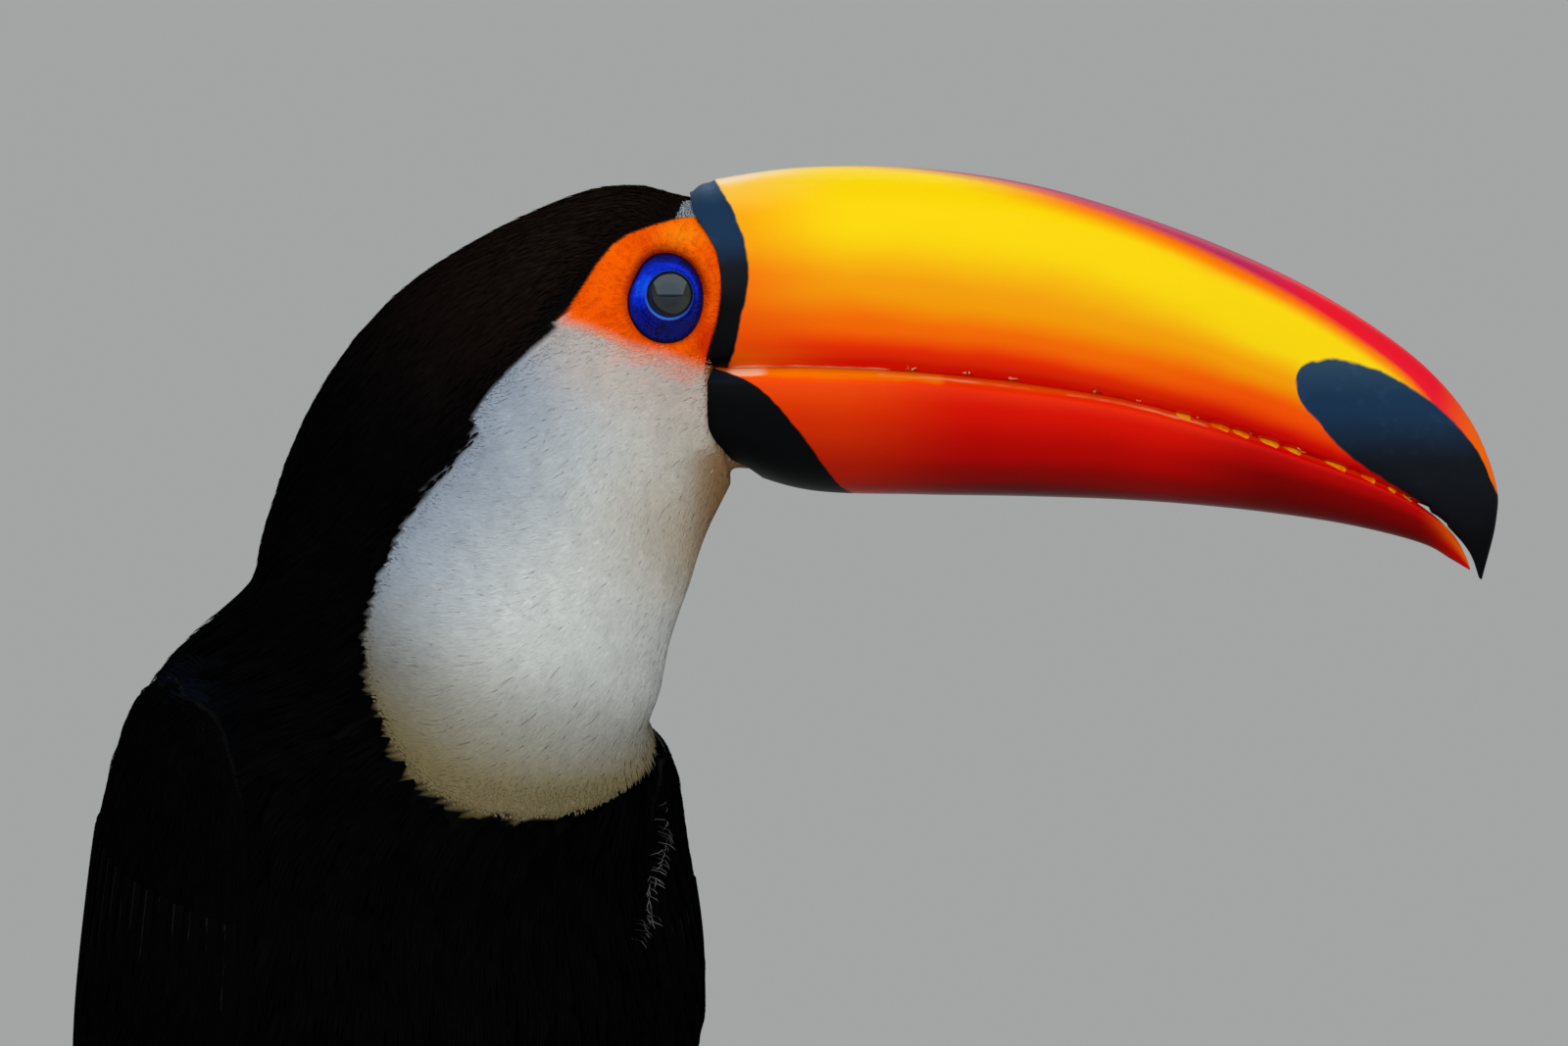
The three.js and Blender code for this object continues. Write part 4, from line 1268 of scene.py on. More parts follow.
def makeStudio():
    scene = bpy.context.scene
    scene.view_settings.view_transform = "Standard"
    sky = bpy.data.worlds.new("sky")
    sky.use_nodes = True
    sky.node_tree.nodes["Background"].inputs[0].default_value = studio["sky"] + [1]
    sky.node_tree.nodes["Background"].inputs[1].default_value = studio["skyStrength"]
    scene.world = sky
    bm = bmesh.new()
    bmesh.ops.create_circle(bm, cap_ends=True, segments=96, radius=studio["floor"])
    floorMaterial, tree, shader = newMaterial("floor", Roughness=0.8)
    tree.links.new(mixed(tree, noise(tree, 3), *studio["paint"]), shader.inputs["Base Color"])
    mesh = asMesh(bm, "floor")
    mesh.materials.append(floorMaterial)
    floor = bpy.data.objects.new("floor", mesh)
    scene.collection.objects.link(floor)
    for name, place, size, power in studio["lamps"]:
        light = bpy.data.lights.new(name, "AREA")
        light.shape = "RECTANGLE"
        light.size, light.size_y = size
        light.energy = power
        light.color = studio["lampColour"]
        lamp = bpy.data.objects.new(name, light)
        scene.collection.objects.link(lamp)
        lamp.location = eyeMiddle + Vector(place)
        lamp.rotation_euler = (-Vector(place)).to_track_quat("-Z", "Y").to_euler()


makeStudio()

# Coat: thin ribbons laid along the surface. A tuft is a bundle of them that spread from one root.
coat = {
    "rows": (0, 0.35, 0.7, 1), "widths": (0.8, 1, 0.72), "patch": 0.003,
    "share": 1,
}
ribbonFaces = np.array([(0, 1, 3), (0, 3, 2), (2, 3, 5), (2, 5, 4), (4, 5, 6)])
ribbonPatch = np.array([  # a ribbon's seven corners on the flat map
    (-0.5, -0.5), (0.5, -0.5), (-0.5, -0.15), (0.5, -0.15), (-0.5, 0.2), (0.5, 0.2), (0, 0.5)])


def walked(surface, facing, u, v, forward, sideways):  # millimetres along and across a surface's lines
    _, normal, alongU, alongV = surfaceOf(surface, u, v, facing)
    size = np.linalg.norm(alongU, axis=-1)
    lengthways = alongU / size[..., None]
    across = unit(alongV - lengthways * (alongV * lengthways).sum(-1, keepdims=True))
    dv = sideways / (alongV * across).sum(-1)
    return u + (forward - dv * (alongV * lengthways).sum(-1)) / size, v + dv


def ribbons(surface, facing, tufts, soft=0.35):  # soft is the share of the body's own normal in theirs
    get = {key: np.asarray(value, float) for key, value in tufts.items()}
    rows = np.array(coat["rows"])[:, None]
    reach = get["length"] * rows
    fade = np.where(rows < 0.6, rows - rows**2 / 1.2, 0.3)
    aside = get["length"] * get["fan"] * fade
    turnCos, turnSin = np.cos(get["lie"]), np.sin(get["lie"])
    u, v = walked(surface, facing, get["u"], get["v"], reach * turnCos - aside * turnSin,
                  reach * turnSin + aside * turnCos)
    rise = np.array([0, 0.8, 1, 1])[:, None]
    lift = get["root"] + (get["top"] - get["root"]) * rise
    lift[3] = get["tip"]
    middle, normal, _, _ = surfaceOf(surface, u, v, facing)
    middle = middle + normal * lift[..., None]
    steps = [middle[1:2] - middle[0:1], middle[2:] - middle[:-2], middle[3:4] - middle[2:3]]
    tangent = unit(np.concatenate(steps))
    flatAcross = unit(np.cross(normal, tangent))
    upward = np.cross(tangent, flatAcross)
    rollCos, rollSin = np.cos(get["roll"])[:, None], np.sin(get["roll"])[:, None]
    across = flatAcross * rollCos + upward * rollSin
    facings = unit(normal * soft + (upward * rollCos - flatAcross * rollSin) * (1 - soft))
    half = get["width"] / 2 * np.array(coat["widths"])[:, None]
    left = middle[:3] + across[:3] * half[..., None]
    right = middle[:3] - across[:3] * half[..., None]
    points = np.stack([left[0], right[0], left[1], right[1], left[2], right[2], middle[3]], axis=1)
    return points, np.repeat(facings, (2, 2, 2, 1), axis=0).transpose(1, 0, 2)


def ribbonPiece(name, shape, places, colours, material, slot, rootShade=0.62):  # places on the flat map
    points, facings = shape
    count = len(points)
    mesh = bpy.data.meshes.new(name)
    mesh.vertices.add(count * 7)
    mesh.vertices.foreach_set("co", world(points).astype(np.float32).ravel())
    corners = (ribbonFaces.ravel()[None, :] + np.arange(count)[:, None] * 7).ravel()
    mesh.loops.add(len(corners))
    mesh.loops.foreach_set("vertex_index", corners.astype(np.int32))
    mesh.polygons.add(count * 5)
    mesh.polygons.foreach_set("loop_start", np.arange(0, len(corners), 3, dtype=np.int32))
    mesh.update(calc_edges=True)
    spots = (places[:, None, :] + ribbonPatch[None] * coat["patch"]).reshape(-1, 2)
    layer = mesh.uv_layers.new(name="OFBake")
    layer.data.foreach_set("uv", spots[corners].astype(np.float32).ravel())
    shade = rootShade + (1 - rootShade) * np.array([0, 0, 0.7, 0.7, 1.0, 1.0, 1.1])
    setColour(mesh, "coat", (colours[:, None, :] * shade[None, :, None]).reshape(-1, 3))
    piece = dressed(mesh, name, material, slot)
    mesh.normals_split_custom_set_from_vertices(facings.reshape(-1, 3))
    return piece


def scattered(surface, spanU, spanV, count, rng, weightAt):  # roots by area times weight, in order of u
    cells = 300
    edgesU, edgesV = np.linspace(*spanU, cells + 1), np.linspace(*spanV, cells + 1)
    u, v = np.meshgrid((edgesU[1:] + edgesU[:-1]) / 2, (edgesV[1:] + edgesV[:-1]) / 2, indexing="ij")
    point, _, alongU, alongV = surfaceOf(surface, u, v)
    area = np.linalg.norm(np.cross(alongU, alongV), axis=-1) * weightAt(u, v, point)
    total = np.cumsum(area.ravel())
    chosen = np.searchsorted(total, (np.arange(count) + rng.random(count)) / count * total[-1])
    chosen = np.minimum(chosen, area.size - 1)
    return (u.ravel()[chosen] + (rng.random(count) - 0.5) * (edgesU[1] - edgesU[0]),
            v.ravel()[chosen] + (rng.random(count) - 0.5) * (edgesV[1] - edgesV[0]))


def bundled(rng, barbs, u, v, lie, length, spread, width, root, top, tip, cup=0.2, curl=0.35, twist=0.16):
    # Each tuft becomes so many barbs: the outer ones are shorter, lower and turned away.
    count = len(u)
    c = np.tile(np.linspace(-1, 1, barbs), count) + rng.uniform(-0.12, 0.12, count * barbs)
    each = {"u": u, "v": v, "lie": lie, "length": length, "fan": spread, "width": width,
            "root": root, "top": top, "tip": tip}
    many = {key: np.repeat(value * np.ones(count), barbs) for key, value in each.items()}
    many["fan"] = c * many["fan"] / (0.6 * many["length"])
    many["lie"] = many["lie"] + rng.normal(0, 0.05, count * barbs)
    many["width"] = many["width"] * rng.uniform(0.8, 1.2, count * barbs)
    many["length"] = many["length"] * (1 - 0.26 * c**2) * rng.uniform(0.9, 1.08, count * barbs)
    many["top"] = many["top"] - cup * c**2
    many["tip"] = many["tip"] - cup * c**2 + rng.normal(0, 0.3 * twist, count * barbs)
    many["roll"] = -c * curl + rng.normal(0, twist, count * barbs)
    return many


def fromWing(u, v, side):  # how far along a wing, the degrees from its middle, and the degrees it covers
    s = alongWing(u)
    away = (np.degrees(v - twistAt(u)) - side * wingMiddle(s) + 180) % 360 - 180
    return s, away, wingSpread(s) * wingEnd(s) * wing["cover"]


def underWing(u, v):  # 1 well under a folded wing
    covered = np.zeros(np.shape(u))
    for side in sides.values():
        s, away, spread = fromWing(u, v, side)
        covered = np.maximum(covered, (np.abs(away) < spread) * (s > 0.04) * (s < 0.97))
    return covered


def besideWing(u, v):  # 1 at a folded wing's edge, fading over the body, and the way towards the wing
    s, away, spread = fromWing(u, v, np.where(fromFront(v) > 0, -1, 1))
    near = (1 - smooth(0, 15, np.abs(away) - spread)) * (s > -0.02) * (s < 1)
    return near, -np.sign(away)


def feathered(u, v, point, invade=0.15):  # 1 where the body carries feathers
    behindBill = point[..., 0] < seamAt(point[..., 2]) + 1.8
    return behindBill * (bareFace(point) < invade) * (1 - underWing(u, v))


def flat(u, v):  # the body's own unwrap
    return np.stack([0.003 + 0.994 * ((v / (2 * math.pi)) % 1), 0.003 + 0.994 * u / bodyLoft["last"]], axis=1)


def flatWing(s, v):
    return np.stack([0.5 + 0.47 * v, 0.03 + 0.9 * s], axis=1)


def feltMaterial(name, roughness, specular):
    material, tree, shader = newMaterial(name, Roughness=roughness, Specular_IOR_Level=specular)
    tone = painted(tree, "coat")
    mottle = add(tree, "MapRange", {0: noise(tree, 300, 3), 3: 0.86, 4: 1.08})
    tree.links.new(mixed(tree, 1.0, tone, mottle, "MULTIPLY"), shader.inputs["Base Color"])
    return material


blackBarbs = feltMaterial("black_barbs", 0.5, 0)


def tuftLift(u, v, point, rng, top=-0.3, spread=0.12):
    depth = depthAt(u, v, point)
    lift = depth * top + 0.1 + rng.normal(0, 1, len(u)) * spread
    return -depth - 0.15, lift, lift + 0.12 + rng.normal(0, 1, len(u)) * spread * 0.5


def makeBib():
    rng = np.random.default_rng(101)
    white = feltMaterial("down_barbs", 0.8, 0.06)
    barbs, count = bib["barbs"], int(bib["tufts"] * coat["share"])

    def weight(u, v, point):
        lore = (insideBy(loreOutline, point[..., 0], point[..., 2]) > -0.2) & (u < 3)
        border = bareFace(point)
        size = (1.5 - 0.6 * smooth(0, 7, u) + 1.3 * smooth(-7, -1, border)
                + 0.9 * smooth(7, 1, bibShare(u, v)) + 1.5 * lore)
        thinning = np.where(border > 0, 0.9 * smooth(2.6, 0, border) * smooth(-2, -6, point[..., 2]), 1.0)
        return feathered(u, v, point, 2.6) * ((bibShare(u, v) > bib["inset"]) | lore) * size * thinning

    u, v = scattered(onBody, (0.1, 10.3), (0, 2 * math.pi), count, rng, weight)
    point = onBody(u, v)
    x, z = point[:, 0], point[:, 2]
    front = fromFront(v)
    share = bibAside(u, v)
    outside = -bareFace(point)  # how far from the bare skin
    clump = waves(point, 7, 31)
    lie = np.sign(front) * np.radians(58) * smooth(0.35, 1.05, share) * smooth(3.6, 6.5, u) + 0.16 * clump
    length = np.interp(u, *bib["lengths"])
    edge = np.minimum(bibShare(u, v), (bib["foot"][0] - u) * bib["foot"][1])
    length = length * (0.3 + 0.7 * smooth(-1, 8, outside)) * (0.2 + 0.8 * smooth(1, 12, edge))
    length = length * rng.uniform(0.85, 1.15, count)
    depth = depthAt(u, v, point)
    top = 0.03 - 0.35 * depth + rng.normal(0, 0.01, count)
    tip = top + 0.03 + rng.normal(0, 0.01, count)
    tone = downTone(u, v, point)
    low = smooth(2, -6, z)
    pink = 0.85 * (1 - smooth(0.5, 5 + 2 * waves(point, 5, 8), outside)) * (low * smooth(-16, -6, x))
    apricot = (1 - smooth(-1.5, 1.4 + 0.8 * waves(point, 3, 9), outside)) * low
    tone = blend(blend(tone, plumage["pink"], pink), plumage["apricot"], apricot)
    past = x - seamAt(z)
    wedge = smooth(-32, -35, z) * smooth(3, 12, x)
    tone = blend(tone, plumage["amber"], np.maximum(0.7 * smooth(0.7, 1.5, past) * (z < -17), 0.8 * wedge))
    length = length * (0.35 + 0.65 * smooth(2, -2, past))
    lore = (insideBy(loreOutline, x, z) > -0.4) & (u < 3)
    # the lore's own pale grey, painted lighter against the shadow of the bill's band
    tone = np.where(lore[:, None], plumage["lore"], tone)
    tone = tone * (1 + 0.03 * clump + rng.normal(0, 0.025, count))[:, None]
    width = (0.15 + 0.33 * smooth(0, 7, outside)) * (0.4 + 0.6 * smooth(1, 9, edge))
    width = np.where(lore, 0.16, width)
    spread = 0.2 + 0.2 * smooth(0, 6, outside)
    tufts = bundled(rng, barbs, u, v, lie, length, spread, width, -depth - 0.02, top, tip, 0.01, 0.03, 0.05)
    points, facings = ribbons(onBody, 1, tufts, 0.85)
    places, tone = np.repeat(flat(u, v), barbs, axis=0), np.repeat(tone, barbs, axis=0)
    tone = tone * (1 + rng.normal(0, 0.03, len(tone)))[:, None]
    for i, part in enumerate(np.array_split(np.arange(len(points)), bib["pieces"])):
        shape = tucked(points[part]), facings[part]
        ribbonPiece("bib_%d" % (i + 1), shape, places[part], tone[part], white, "white_down", 0.95)


def makeDarkCoat():
    # name, stations, tufts, barbs, lengths by station, spread and barb width over length, seed
    regions = [
        ("crown", (0.2, 5.2), 10600, 3, ([0, 2, 4, 5], [2.4, 3.6, 5.6, 6.6]), 0.12, 0.066, 102),
        ("nape", (5.2, 8.6), 8000, 4, ([5, 7, 9], [6.6, 8.5, 11]), 0.16, 0.066, 103),
        ("mantle", (8.6, 15.4), 2100, 11, ([8, 11, 15], [10, 17, 15]), 0.5, 0.06, 104),
        ("breast", (8.6, 15.4), 2700, 11, ([8, 11, 15], [8.5, 13, 15]), 0.46, 0.06, 105),
    ]
    for name, span, count, barbs, lengths, spread, width, seed in regions:
        rng = np.random.default_rng(seed)
        count = int(count * coat["share"])

        def weight(u, v, point):
            size = np.interp(u, lengths[0], lengths[1])
            lore = (insideBy(loreOutline, point[..., 0], point[..., 2]) > 0) & (u < 3)
            dark = (bibShare(u, v) < 3 * smooth(8.2, 9, u) - 0.5) & ~lore
            front = np.abs(fromFront(v)) < 92
            side = front if name == "breast" else ~front if name == "mantle" else np.ones(u.shape, bool)
            border = 1 + 1.6 * smooth(-6, 0, bareFace(point))
            return feathered(u, v, point) * dark * side * border * size ** -1.2

        u, v = scattered(onBody, span, (0, 2 * math.pi), count, rng, weight)
        point = onBody(u, v)
        clump = waves(point, 16, seed)
        bare = -bareFace(point)
        length = np.interp(u, lengths[0], lengths[1]) * rng.uniform(0.85, 1.15, count)
        byBib = 1 - 0.55 * smooth(14, 2, -bibShare(u, v)) * smooth(8.2, 6.8, u)
        length = length * (0.3 + 0.7 * smooth(0, 9, bare)) * byBib
        fine = 0.6 + 0.4 * smooth(0, 6, bare)
        root, top, tip = tuftLift(u, v, point, rng, -0.3, 0.12 if name in ("crown", "nape") else 0.22)
        overlap, toward = besideWing(u, v)
        lie = 0.1 * clump + rng.normal(0, 0.03, count) + 0.75 * overlap * toward
        length = length * (1 + 0.35 * overlap)
        rise = 0.55 + 0.45 * smooth(10.4, 12, u)
        top, tip = top + 1.6 * overlap * rise, tip + 3.4 * overlap * rise
        tone = blend(plumage["crown"], plumage["black"], smooth(3, 6.5, u))
        # painted sheen: a bluish patch on the shoulder stands in for the sky's reflection
        sheen = np.exp(-(((point[:, 0] + 105) / 11) ** 2) - ((point[:, 2] + 91) / 11) ** 2)
        tone = blend(tone, plumage["shoulder"], sheen * (0.8 + 0.2 * clump))
        grain = rng.normal(0, 0.1 + 0.16 * smooth(5, 3, u), count)
        tone = tone * np.maximum(1 + 0.1 * clump + grain, 0.3)[:, None]
        tufts = bundled(rng, barbs, u, v, lie, length, length * spread * fine, length * width * fine,
                        root, top, tip, 0.03 * length.mean(), 0.4)
        points, facings = ribbons(onBody, 1, tufts)
        ribbonPiece(name, (tucked(points), facings), np.repeat(flat(u, v), barbs, axis=0),
                    np.repeat(tone, barbs, axis=0), blackBarbs, "black_plumage")


makeBib()
print("bib")
makeDarkCoat()
print("dark coat")


# Tufts of the rump, the undertail coverts and the vent, round the root of the tail
def makeRear():
    regions = [  # name, degrees round from the front, stations, tone, slot, tufts, seed
        ("rump", (112, 181), (14.6, 17.9), "rump", "white_down", 1100, 106),
        ("undertail", (-1, 74), (15.0, 17.9), "red", "red_coverts", 820, 107),
        ("vent", (68, 118), (15.3, 17.9), "black", "black_plumage", 720, 108),
    ]
    for name, (least, most), span, tone, slot, count, seed in regions:
        rng = np.random.default_rng(seed)
        count = int(count * coat["share"])

        def weight(u, v, point):
            around = np.abs(fromFront(v)) + 2 * waves(point, 9, seed)
            return (around > least) * (around < most) * (1 - underWing(u, v))

        u, v = scattered(onBody, span, (0, 2 * math.pi), count, rng, weight)
        point = onBody(u, v)
        length = np.interp(u, [15, 18], [13, 17]) * rng.uniform(0.85, 1.15, count)
        root, top, tip = tuftLift(u, v, point, rng, 0.3 if name == "rump" else -0.25, 0.2)
        tones = np.tile(np.array(plumage[tone]), (count, 1)) * (1 + rng.normal(0, 0.06, count))[:, None]
        tufts = bundled(rng, 11, u, v, rng.normal(0, 0.08, count), length, length * 0.46, length * 0.055,
                        root, top, tip, 0.4, 0.4)
        material = blackBarbs if tone == "black" else feltMaterial(name, 0.7, 0.06)
        ribbonPiece(name, ribbons(onBody, 1, tufts), np.repeat(flat(u, v), 11, axis=0),
                    np.repeat(tones, 11, axis=0), material, slot, 0.62 if tone == "black" else 0.85)


def makeThighs():
    for name, side in sides.items():
        rng = np.random.default_rng(120 + side)
        path = thighPath(side)
        count = int(900 * coat["share"])

        def surface(u, v):
            return onTube(path, u, v)

        u, v = scattered(surface, (0.0, 1.0), (0, 2 * math.pi), count, rng,
                         lambda u, v, point: np.ones(u.shape))
        length = np.interp(u, [0, 1], [13, 8]) * rng.uniform(0.85, 1.15, count)
        tones = np.tile(np.array(plumage["black"]), (count, 1)) * (1 + rng.normal(0, 0.1, count))[:, None]
        tufts = bundled(rng, 9, u, v, rng.normal(0, 0.08, count), length, length * 0.4, length * 0.055,
                        -2.4, -0.6 + rng.normal(0, 0.2, count), -0.2 + rng.normal(0, 0.2, count), 0.3, 0.4)
        places = np.stack([0.003 + 0.994 * ((v / (2 * math.pi)) % 1), 0.003 + 0.994 * u], axis=1)
        ribbonPiece("thigh_feathers_" + name, ribbons(surface, -1, tufts), np.repeat(places, 9, axis=0),
                    np.repeat(tones, 9, axis=0), blackBarbs, "black_plumage")


makeRear()
makeThighs()
print("rear and thighs")


# Wings: rows of coverts over folded flight feathers
covert = {"tufts": 1350, "barbs": 13, "lengths": ([-0.02, 0.15, 0.3, 0.5], [7, 11, 19, 26])}


def makeCoverts():
    for name, side in sides.items():
        rng = np.random.default_rng(130 + side)
        count = int(covert["tufts"] * coat["share"])

        def surface(s, v):
            return onWing(side, s, v)

        def weight(s, v, point):
            edge = np.abs(v) ** 4
            lowest = 0.36 + 0.12 * v - 0.1 * edge
            return (s < lowest + 0.25 * (v < -0.75)) * np.interp(s, *covert["lengths"]) ** -1.1

        u, v = scattered(surface, (0.0, 0.62), (-1.04, 1.04), count, rng, weight)
        point = surface(u, v)
        length = np.interp(u, *covert["lengths"]) * rng.uniform(0.92, 1.08, count)
        clump = waves(point, 18, 40)
        tones = np.tile(np.array(plumage["black"]), (count, 1))
        tones = tones * (1 + 0.12 * clump + rng.normal(0, 0.08, count))[:, None]
        raised = np.interp(length, [7, 11, 26], [-1.5, -1.0, 0.3])
        barbs = covert["barbs"]
        lie = 0.04 * rng.normal(0, 1, count) - 0.1 * v
        tufts = bundled(rng, barbs, u, v, lie, length, length * 0.4, length * 0.045, -2.6,
                        raised + rng.normal(0, 0.2, count), raised + 0.25, 0.35, 0.45)
        places = flatWing(u, v)
        ribbonPiece("coverts_" + name, ribbons(surface, side, tufts), np.repeat(places, barbs, axis=0),
                    np.repeat(tones, barbs, axis=0), blackBarbs, "black_plumage")


vane = {"around": 20, "along": 52, "barb": 0.62}


def addVane(whole, pointAt, half, thick, length, seed):  # pointAt gives a point and its normal
    phase = {}  # barbs run out from the shaft: their count along it, and the place across it

    def outline(t, c):
        endStart = 1 - 1.1 * half / length
        tipShare = np.clip((t - endStart) / (1 - endStart), 0, 1)
        width = (0.45 + 0.55 * smooth(0, 0.4, t)) * np.sqrt(np.maximum(1 - tipShare**2.4, 0.0004))
        ragged = 1 + 0.012 * np.sin(t * length * 3.1 + seed) + 0.02 * np.sin(t * length * 0.9 + 2 * seed)
        return c * half * width * np.where(np.abs(c) > 0.9, ragged, 1)

    def at(way, angle, share):
        c = np.sin(angle) * share
        c = np.sign(c) * np.abs(c) ** 0.8
        face = np.sign(np.cos(angle)) * np.abs(np.cos(angle)) ** 0.35 * share
        point, normal = pointAt(way, outline(way, c), c)
        shaft = np.exp(-((c - 0.12) / 0.05) ** 2) * (1 - way) ** 0.5
        lift = face * thick / 2 + 0.28 * shaft * np.sign(face)
        lift = lift + 0.35 * thick * np.where(face > 0, 1 - c * c, 0)
        phase["barb"] = way * length - np.abs(c) * half * 0.9
        phase["across"] = c
        return world(point + normal * lift[:, None])

    mesh = asMesh(remapped(vane["around"], vane["along"], at), "vane")
    whole["bm"].from_mesh(mesh)
    bpy.data.meshes.remove(mesh)
    for layer in ("barb", "across"):
        whole[layer].append(phase[layer])


def vaneMaterial():
    material, tree, shader = newMaterial("vanes", Roughness=0.45, Specular_IOR_Level=0)
    barb = carried(tree, "barb")
    across = carried(tree, "across")
    wave = maths(tree, "SINE", times(tree, barb, 2 * math.pi / vane["barb"]))
    shaft = between(tree, maths(tree, "ABSOLUTE", minus(tree, across, 0.12)), 0.1, 0.04)
    patches = add(tree, "MapRange", {0: noise(tree, 130, 3), 3: 0.75, 4: 1.25})
    tone = mixed(tree, 1.0, mixed(tree, shaft, plumage["black"], srgb(26, 22, 20)), patches, "MULTIPLY")
    tree.links.new(tone, shader.inputs["Base Color"])
    bumped(tree, shader, wave, 0.35, 0.00012)
    return material


def vanePiece(name, whole, material, slot, count, replaced=()):
    mesh = asMesh(whole["bm"], name)
    run, across = (np.concatenate(whole[layer]) for layer in ("barb", "across"))
    setShare(mesh, "barb", run)
    setShare(mesh, "across", across)
    corners = np.zeros(len(mesh.loops), np.int32)
    mesh.loops.foreach_get("vertex_index", corners)
    normals = np.zeros(len(mesh.polygons) * 3)
    mesh.polygons.foreach_get("normal", normals)
    totals = np.zeros(len(mesh.polygons), np.int32)
    mesh.polygons.foreach_get("loop_total", totals)
    below = np.repeat(normals.reshape(-1, 3) @ whole["up"] < 0, totals)
    # the flat map gives each feather a strip, half of it for each face
    strip = (corners // (len(across) // count) + 0.25 + 0.5 * below + 0.22 * across[corners]) / count
    run = (run - run.min()) / (run.max() - run.min())
    spots = np.stack([strip, 0.01 + 0.98 * run[corners]], axis=1)
    layer = mesh.uv_layers.new(name="OFBake")
    layer.data.foreach_set("uv", spots.astype(np.float32).ravel())
    return dressed(mesh, name, material, slot, replaced)


remex = {"count": 17, "half": 7.8, "thick": 0.42, "length": 150, "from": 0.24, "tilt": 0.55, "lift": -1.1}


def makeRemiges(material):
    for name, side in sides.items():
        whole = {"bm": bmesh.new(), "barb": [], "across": [], "up": np.array([0, side, 0], float)}

        def surface(s, v):
            return onWing(side, s, v)

        for i in range(remex["count"]):
            order = i / (remex["count"] - 1)  # 0 is the outermost primary, at the belly edge
            start, stop = remex["from"], 1.0 - 0.33 * order**1.5
            middle = 0.84 - 1.62 * order
            length = (stop - start) * remex["length"]

            def pointAt(t, aside, c):
                s, v = walked(surface, side, start + (stop - start) * t, middle + 0.05 * t, 0, aside)
                point, normal, _, _ = surfaceOf(surface, s, v, side)
                lift = remex["lift"] + remex["tilt"] * c + 0.5 * order + 0.9 * smooth(0.8, 1, t)
                return point + normal * lift[:, None], normal

            addVane(whole, pointAt, remex["half"], remex["thick"], length, i)
        vanePiece("remiges_" + name, whole, material, "flight_feathers", remex["count"])


rectrix = {
    "count": 10, "length": 150, "pitch": 24, "root": (-150, -217), "half": 14, "thick": 0.7, "fan": 1.15,
    "step": 2.6, "shorter": 1.6, "layer": 0.5, "offset": 0.22,
}


def turned(axis, degrees):
    return np.array(Matrix.Rotation(math.radians(degrees), 3, axis))


def makeRectrices(material):
    whole = {"bm": bmesh.new(), "barb": [], "across": [], "up": np.array([0, 0, 1.0])}
    root = placed(trunkFrame, rectrix["root"][0], 0, rectrix["root"][1])
    for i in range(rectrix["count"]):
        place = i - (rectrix["count"] - 1) / 2
        fromMiddle, side = abs(place) - 0.5, math.copysign(1, place)
        length = rectrix["length"] - rectrix["shorter"] * fromMiddle**1.5
        drop = fromMiddle * rectrix["layer"] + (rectrix["offset"] if side > 0 else 0)
        spin = turned("Z", side * rectrix["fan"] * (fromMiddle + 0.4))
        spin = spin @ turned("X", -side * (2 + 1.2 * fromMiddle))
        onward = turned("Z", trunkFrame[2] + 90) @ turned("Y", rectrix["pitch"])

        def pointAt(t, aside, c):
            here = np.stack([t * length, aside, -drop - 0.9 * c * c * t], axis=1)
            here = here @ spin.T + np.array([0, side * rectrix["step"] * (fromMiddle + 0.5), 0])
            return here @ onward.T + root, np.tile(onward @ spin @ np.array([0, 0, 1.0]), (len(t), 1))

        addVane(whole, pointAt, rectrix["half"], rectrix["thick"], length, i)
    vanePiece("rectrices", whole, material, "flight_feathers", rectrix["count"], ["tail"])


makeCoverts()
flight = vaneMaterial()
makeRemiges(flight)
makeRectrices(flight)
print("wings and tail")

# Stray barbs painted pale as glints where they catch the light along the fold of the wing, and loose feathers
# on the shoulder
stray = {
    "fold": [(-1.8, -111.3), (-2.4, -118.7), (-2.8, -123.2), (-3.9, -126.4), (-4.3, -130.1), (-4.9, -134),
             (-5.1, -137.9)],
    "branch": [(-8.2, -136), (-7.3, -139.9), (-8.9, -141.8)],
    "shoulder": [(-114, -84), (-117, -87), (-120, -91), (-122, -96)],
    "count": 46, "twigs": 14, "loose": 26,
}


def facingUs(surface, facing, spanU, spanV, places):  # where a surface shows at places (forward, height)
    u, v = np.meshgrid(np.linspace(*spanU, 400), np.linspace(*spanV, 400), indexing="ij")
    points, normals, _, _ = surfaceOf(surface, u, v, facing)
    hidden = (normals[..., 1] > 0.1) * 50
    found = [np.argmin(np.hypot(points[..., 0] - x, points[..., 2] - z) + hidden) for x, z in places]
    return u.ravel()[found], v.ravel()[found]


def nearSide(places):
    return facingUs(onBody, 1, (7, 16), (0, 2 * math.pi), places)


def paleBarbs(rng, name, surface, facing, spans, line, count, lift, placesAt):
    along = np.sort(rng.uniform(0, len(line) - 1, count))
    u, v = facingUs(surface, facing, *spans, through(np.array(line, float), along))
    pale = {"u": u, "v": v, "lie": rng.normal(0, 0.35, count), "length": rng.uniform(1.8, 3.2, count),
            "fan": rng.normal(0.1, 0.1, count), "width": rng.uniform(0.13, 0.24, count),
            "root": np.full(count, -0.4), "top": lift + rng.uniform(-0.2, 0.2, count),
            "tip": lift + rng.uniform(-0.1, 0.5, count), "roll": rng.normal(0, 0.2, count)}
    # painted glints: the barbs' pale grey stands in for the light they catch
    tones = np.tile(srgb(170, 168, 164), (count, 1)) * rng.uniform(0.1, 0.45, (count, 1))
    ribbonPiece(name, ribbons(surface, facing, pale), placesAt(u, v), tones, blackBarbs, "black_plumage", 0.6)


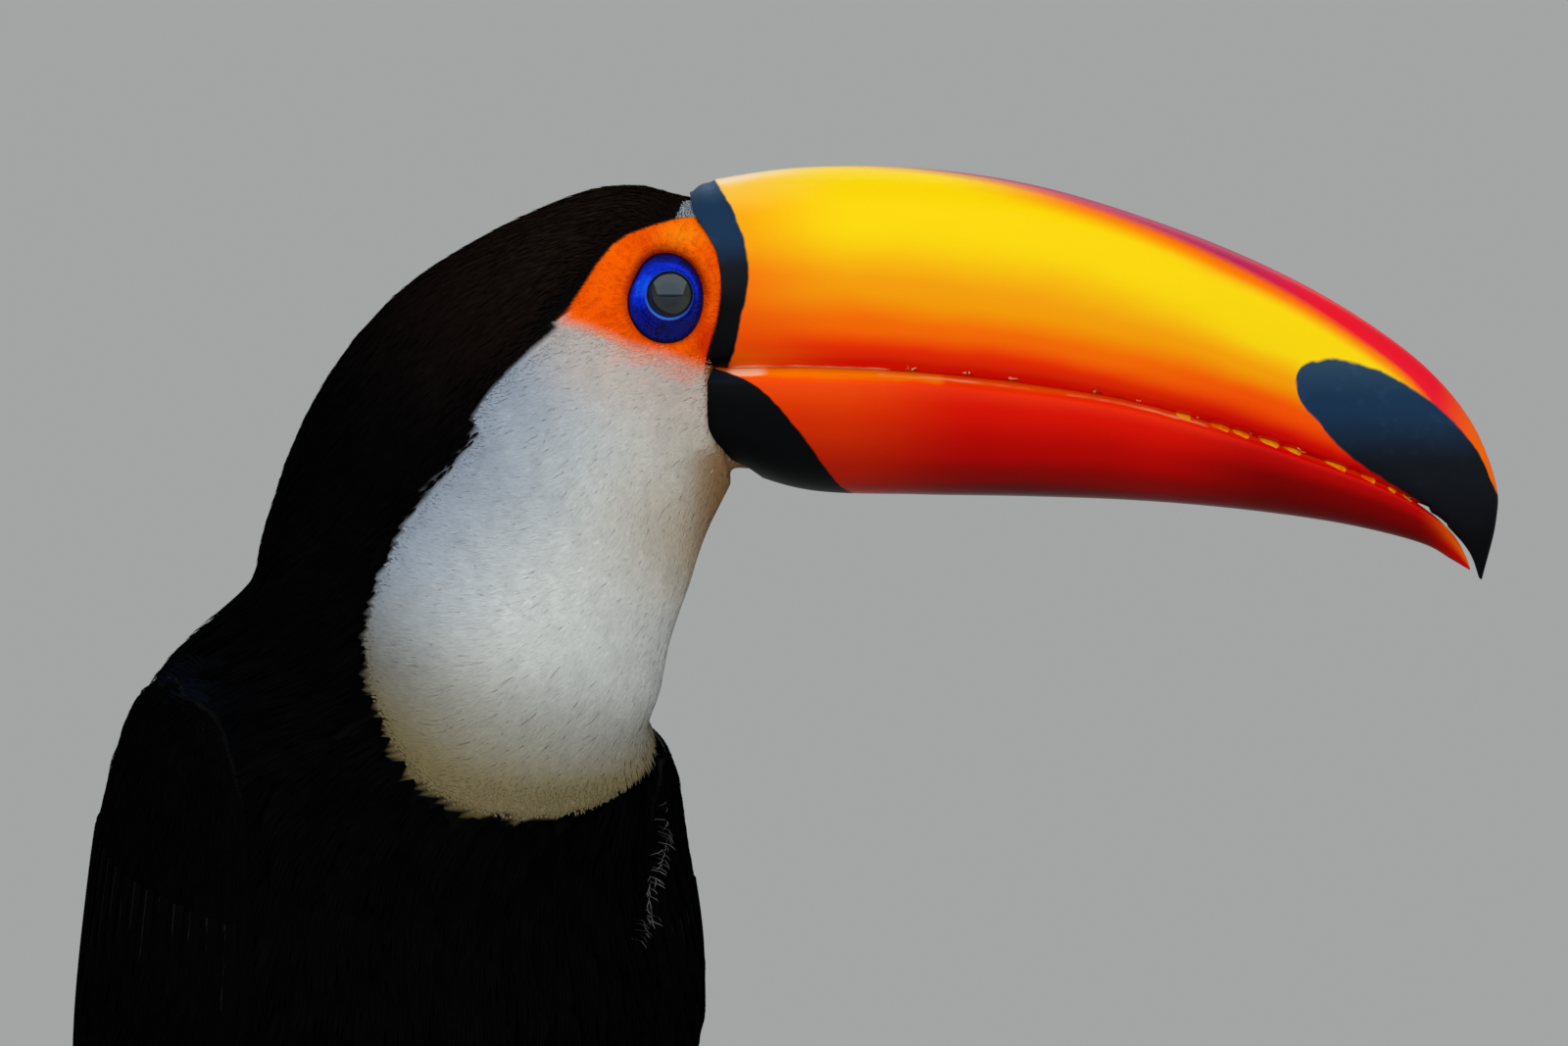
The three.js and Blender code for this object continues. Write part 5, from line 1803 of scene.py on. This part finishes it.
def makeStrays():
    rng = np.random.default_rng(140)

    def farWing(s, v):
        return onWing(1, s, v)

    paleBarbs(rng, "fold_barbs", farWing, 1, ((0.02, 0.6), (0.2, 1.0)),
              stray["fold"], stray["count"], 3.4, flatWing)
    paleBarbs(rng, "breast_barbs", onBody, 1, ((7, 16), (0, 2 * math.pi)),
              stray["branch"], stray["twigs"], 3.2, flat)
    along = np.sort(rng.uniform(0, len(stray["shoulder"]) - 1, stray["loose"]))
    u, v = nearSide(through(np.array(stray["shoulder"], float), along))
    loose = bundled(rng, 5, u, v, rng.normal(-0.5, 0.2, len(u)), rng.uniform(7, 12, len(u)), 2.0, 0.4, -1.5,
                    rng.uniform(0.2, 1.0, len(u)), rng.uniform(1.2, 3.0, len(u)), 0.4, 0.4)
    ribbonPiece("loose_feathers", ribbons(onBody, 1, loose), np.repeat(flat(u, v), 5, axis=0),
                np.tile(np.array(plumage["black"]), (5 * len(u), 1)), blackBarbs, "black_plumage")


makeStrays()

# Curled flakes of horn along the upper cutting edge
flake = {"places": [(53, 1.0), (65.2, 1.3), (74.7, 1.2), (93, 0.9), (102.8, 1.0), (116.5, 0.8), (128.3, 0.7),
                    (139.5, 0.6)], "colour": srgb(255, 160, 70)}


def onUpper(station, angle):
    return onLoft(upperLoft, station, angle)


def makeFlakes():
    rng = np.random.default_rng(141)
    material, tree, shader = newMaterial("horn_flake", Roughness=0.35, Specular_IOR_Level=0.2)
    tone = painted(tree, "coat")
    tree.links.new(mixed(tree, noise(tree, 900, 2), tone, horn["cream"]), shader.inputs["Base Color"])
    stations, angles = np.meshgrid(np.linspace(1, 9, 500), np.radians(np.arange(0, 180, 1.0)), indexing="ij")
    points = onUpper(stations, angles)
    for name, side in sides.items():
        found = [np.argmin(np.hypot(points[..., 0] - x, points[..., 2] - tomiumAt(x) - up)
                           + 40 * (points[..., 1] < 3)) for x, up in flake["places"]]
        u, v = stations.ravel()[found], angles.ravel()[found] * side
        u, v = np.repeat(u, 3) + rng.normal(0, 0.02, 3 * len(u)), np.repeat(v, 3)
        count = len(u)
        slivers = {"u": u, "v": v, "lie": rng.normal(-side * math.pi / 2, 0.5, count),
                   "length": rng.uniform(2.2, 4.4, count), "fan": rng.normal(0, 0.5, count),
                   "width": rng.uniform(0.35, 0.6, count), "root": np.full(count, -0.05),
                   "top": rng.uniform(0.1, 0.3, count), "tip": rng.uniform(0.5, 1.5, count),
                   "roll": rng.normal(0, 0.5, count)}
        places = np.stack([u / 12, (v / (2 * math.pi)) % 1 * 0.99 + 0.005], axis=1)
        tones = np.tile(flake["colour"], (count, 1)) * rng.uniform(0.7, 1.0, (count, 1))
        shape = ribbons(onUpper, 1, slivers, 0.2)
        ribbonPiece("horn_flakes_" + name, shape, places, tones, material, "upper_bill", 0.9)


makeFlakes()
triangles = sum(len(polygon.vertices) - 2 for piece in bpy.context.scene.objects if piece.type == "MESH"
                and not piece.hide_render for polygon in piece.data.polygons)
print("strays and flakes;", triangles, "triangles in all")
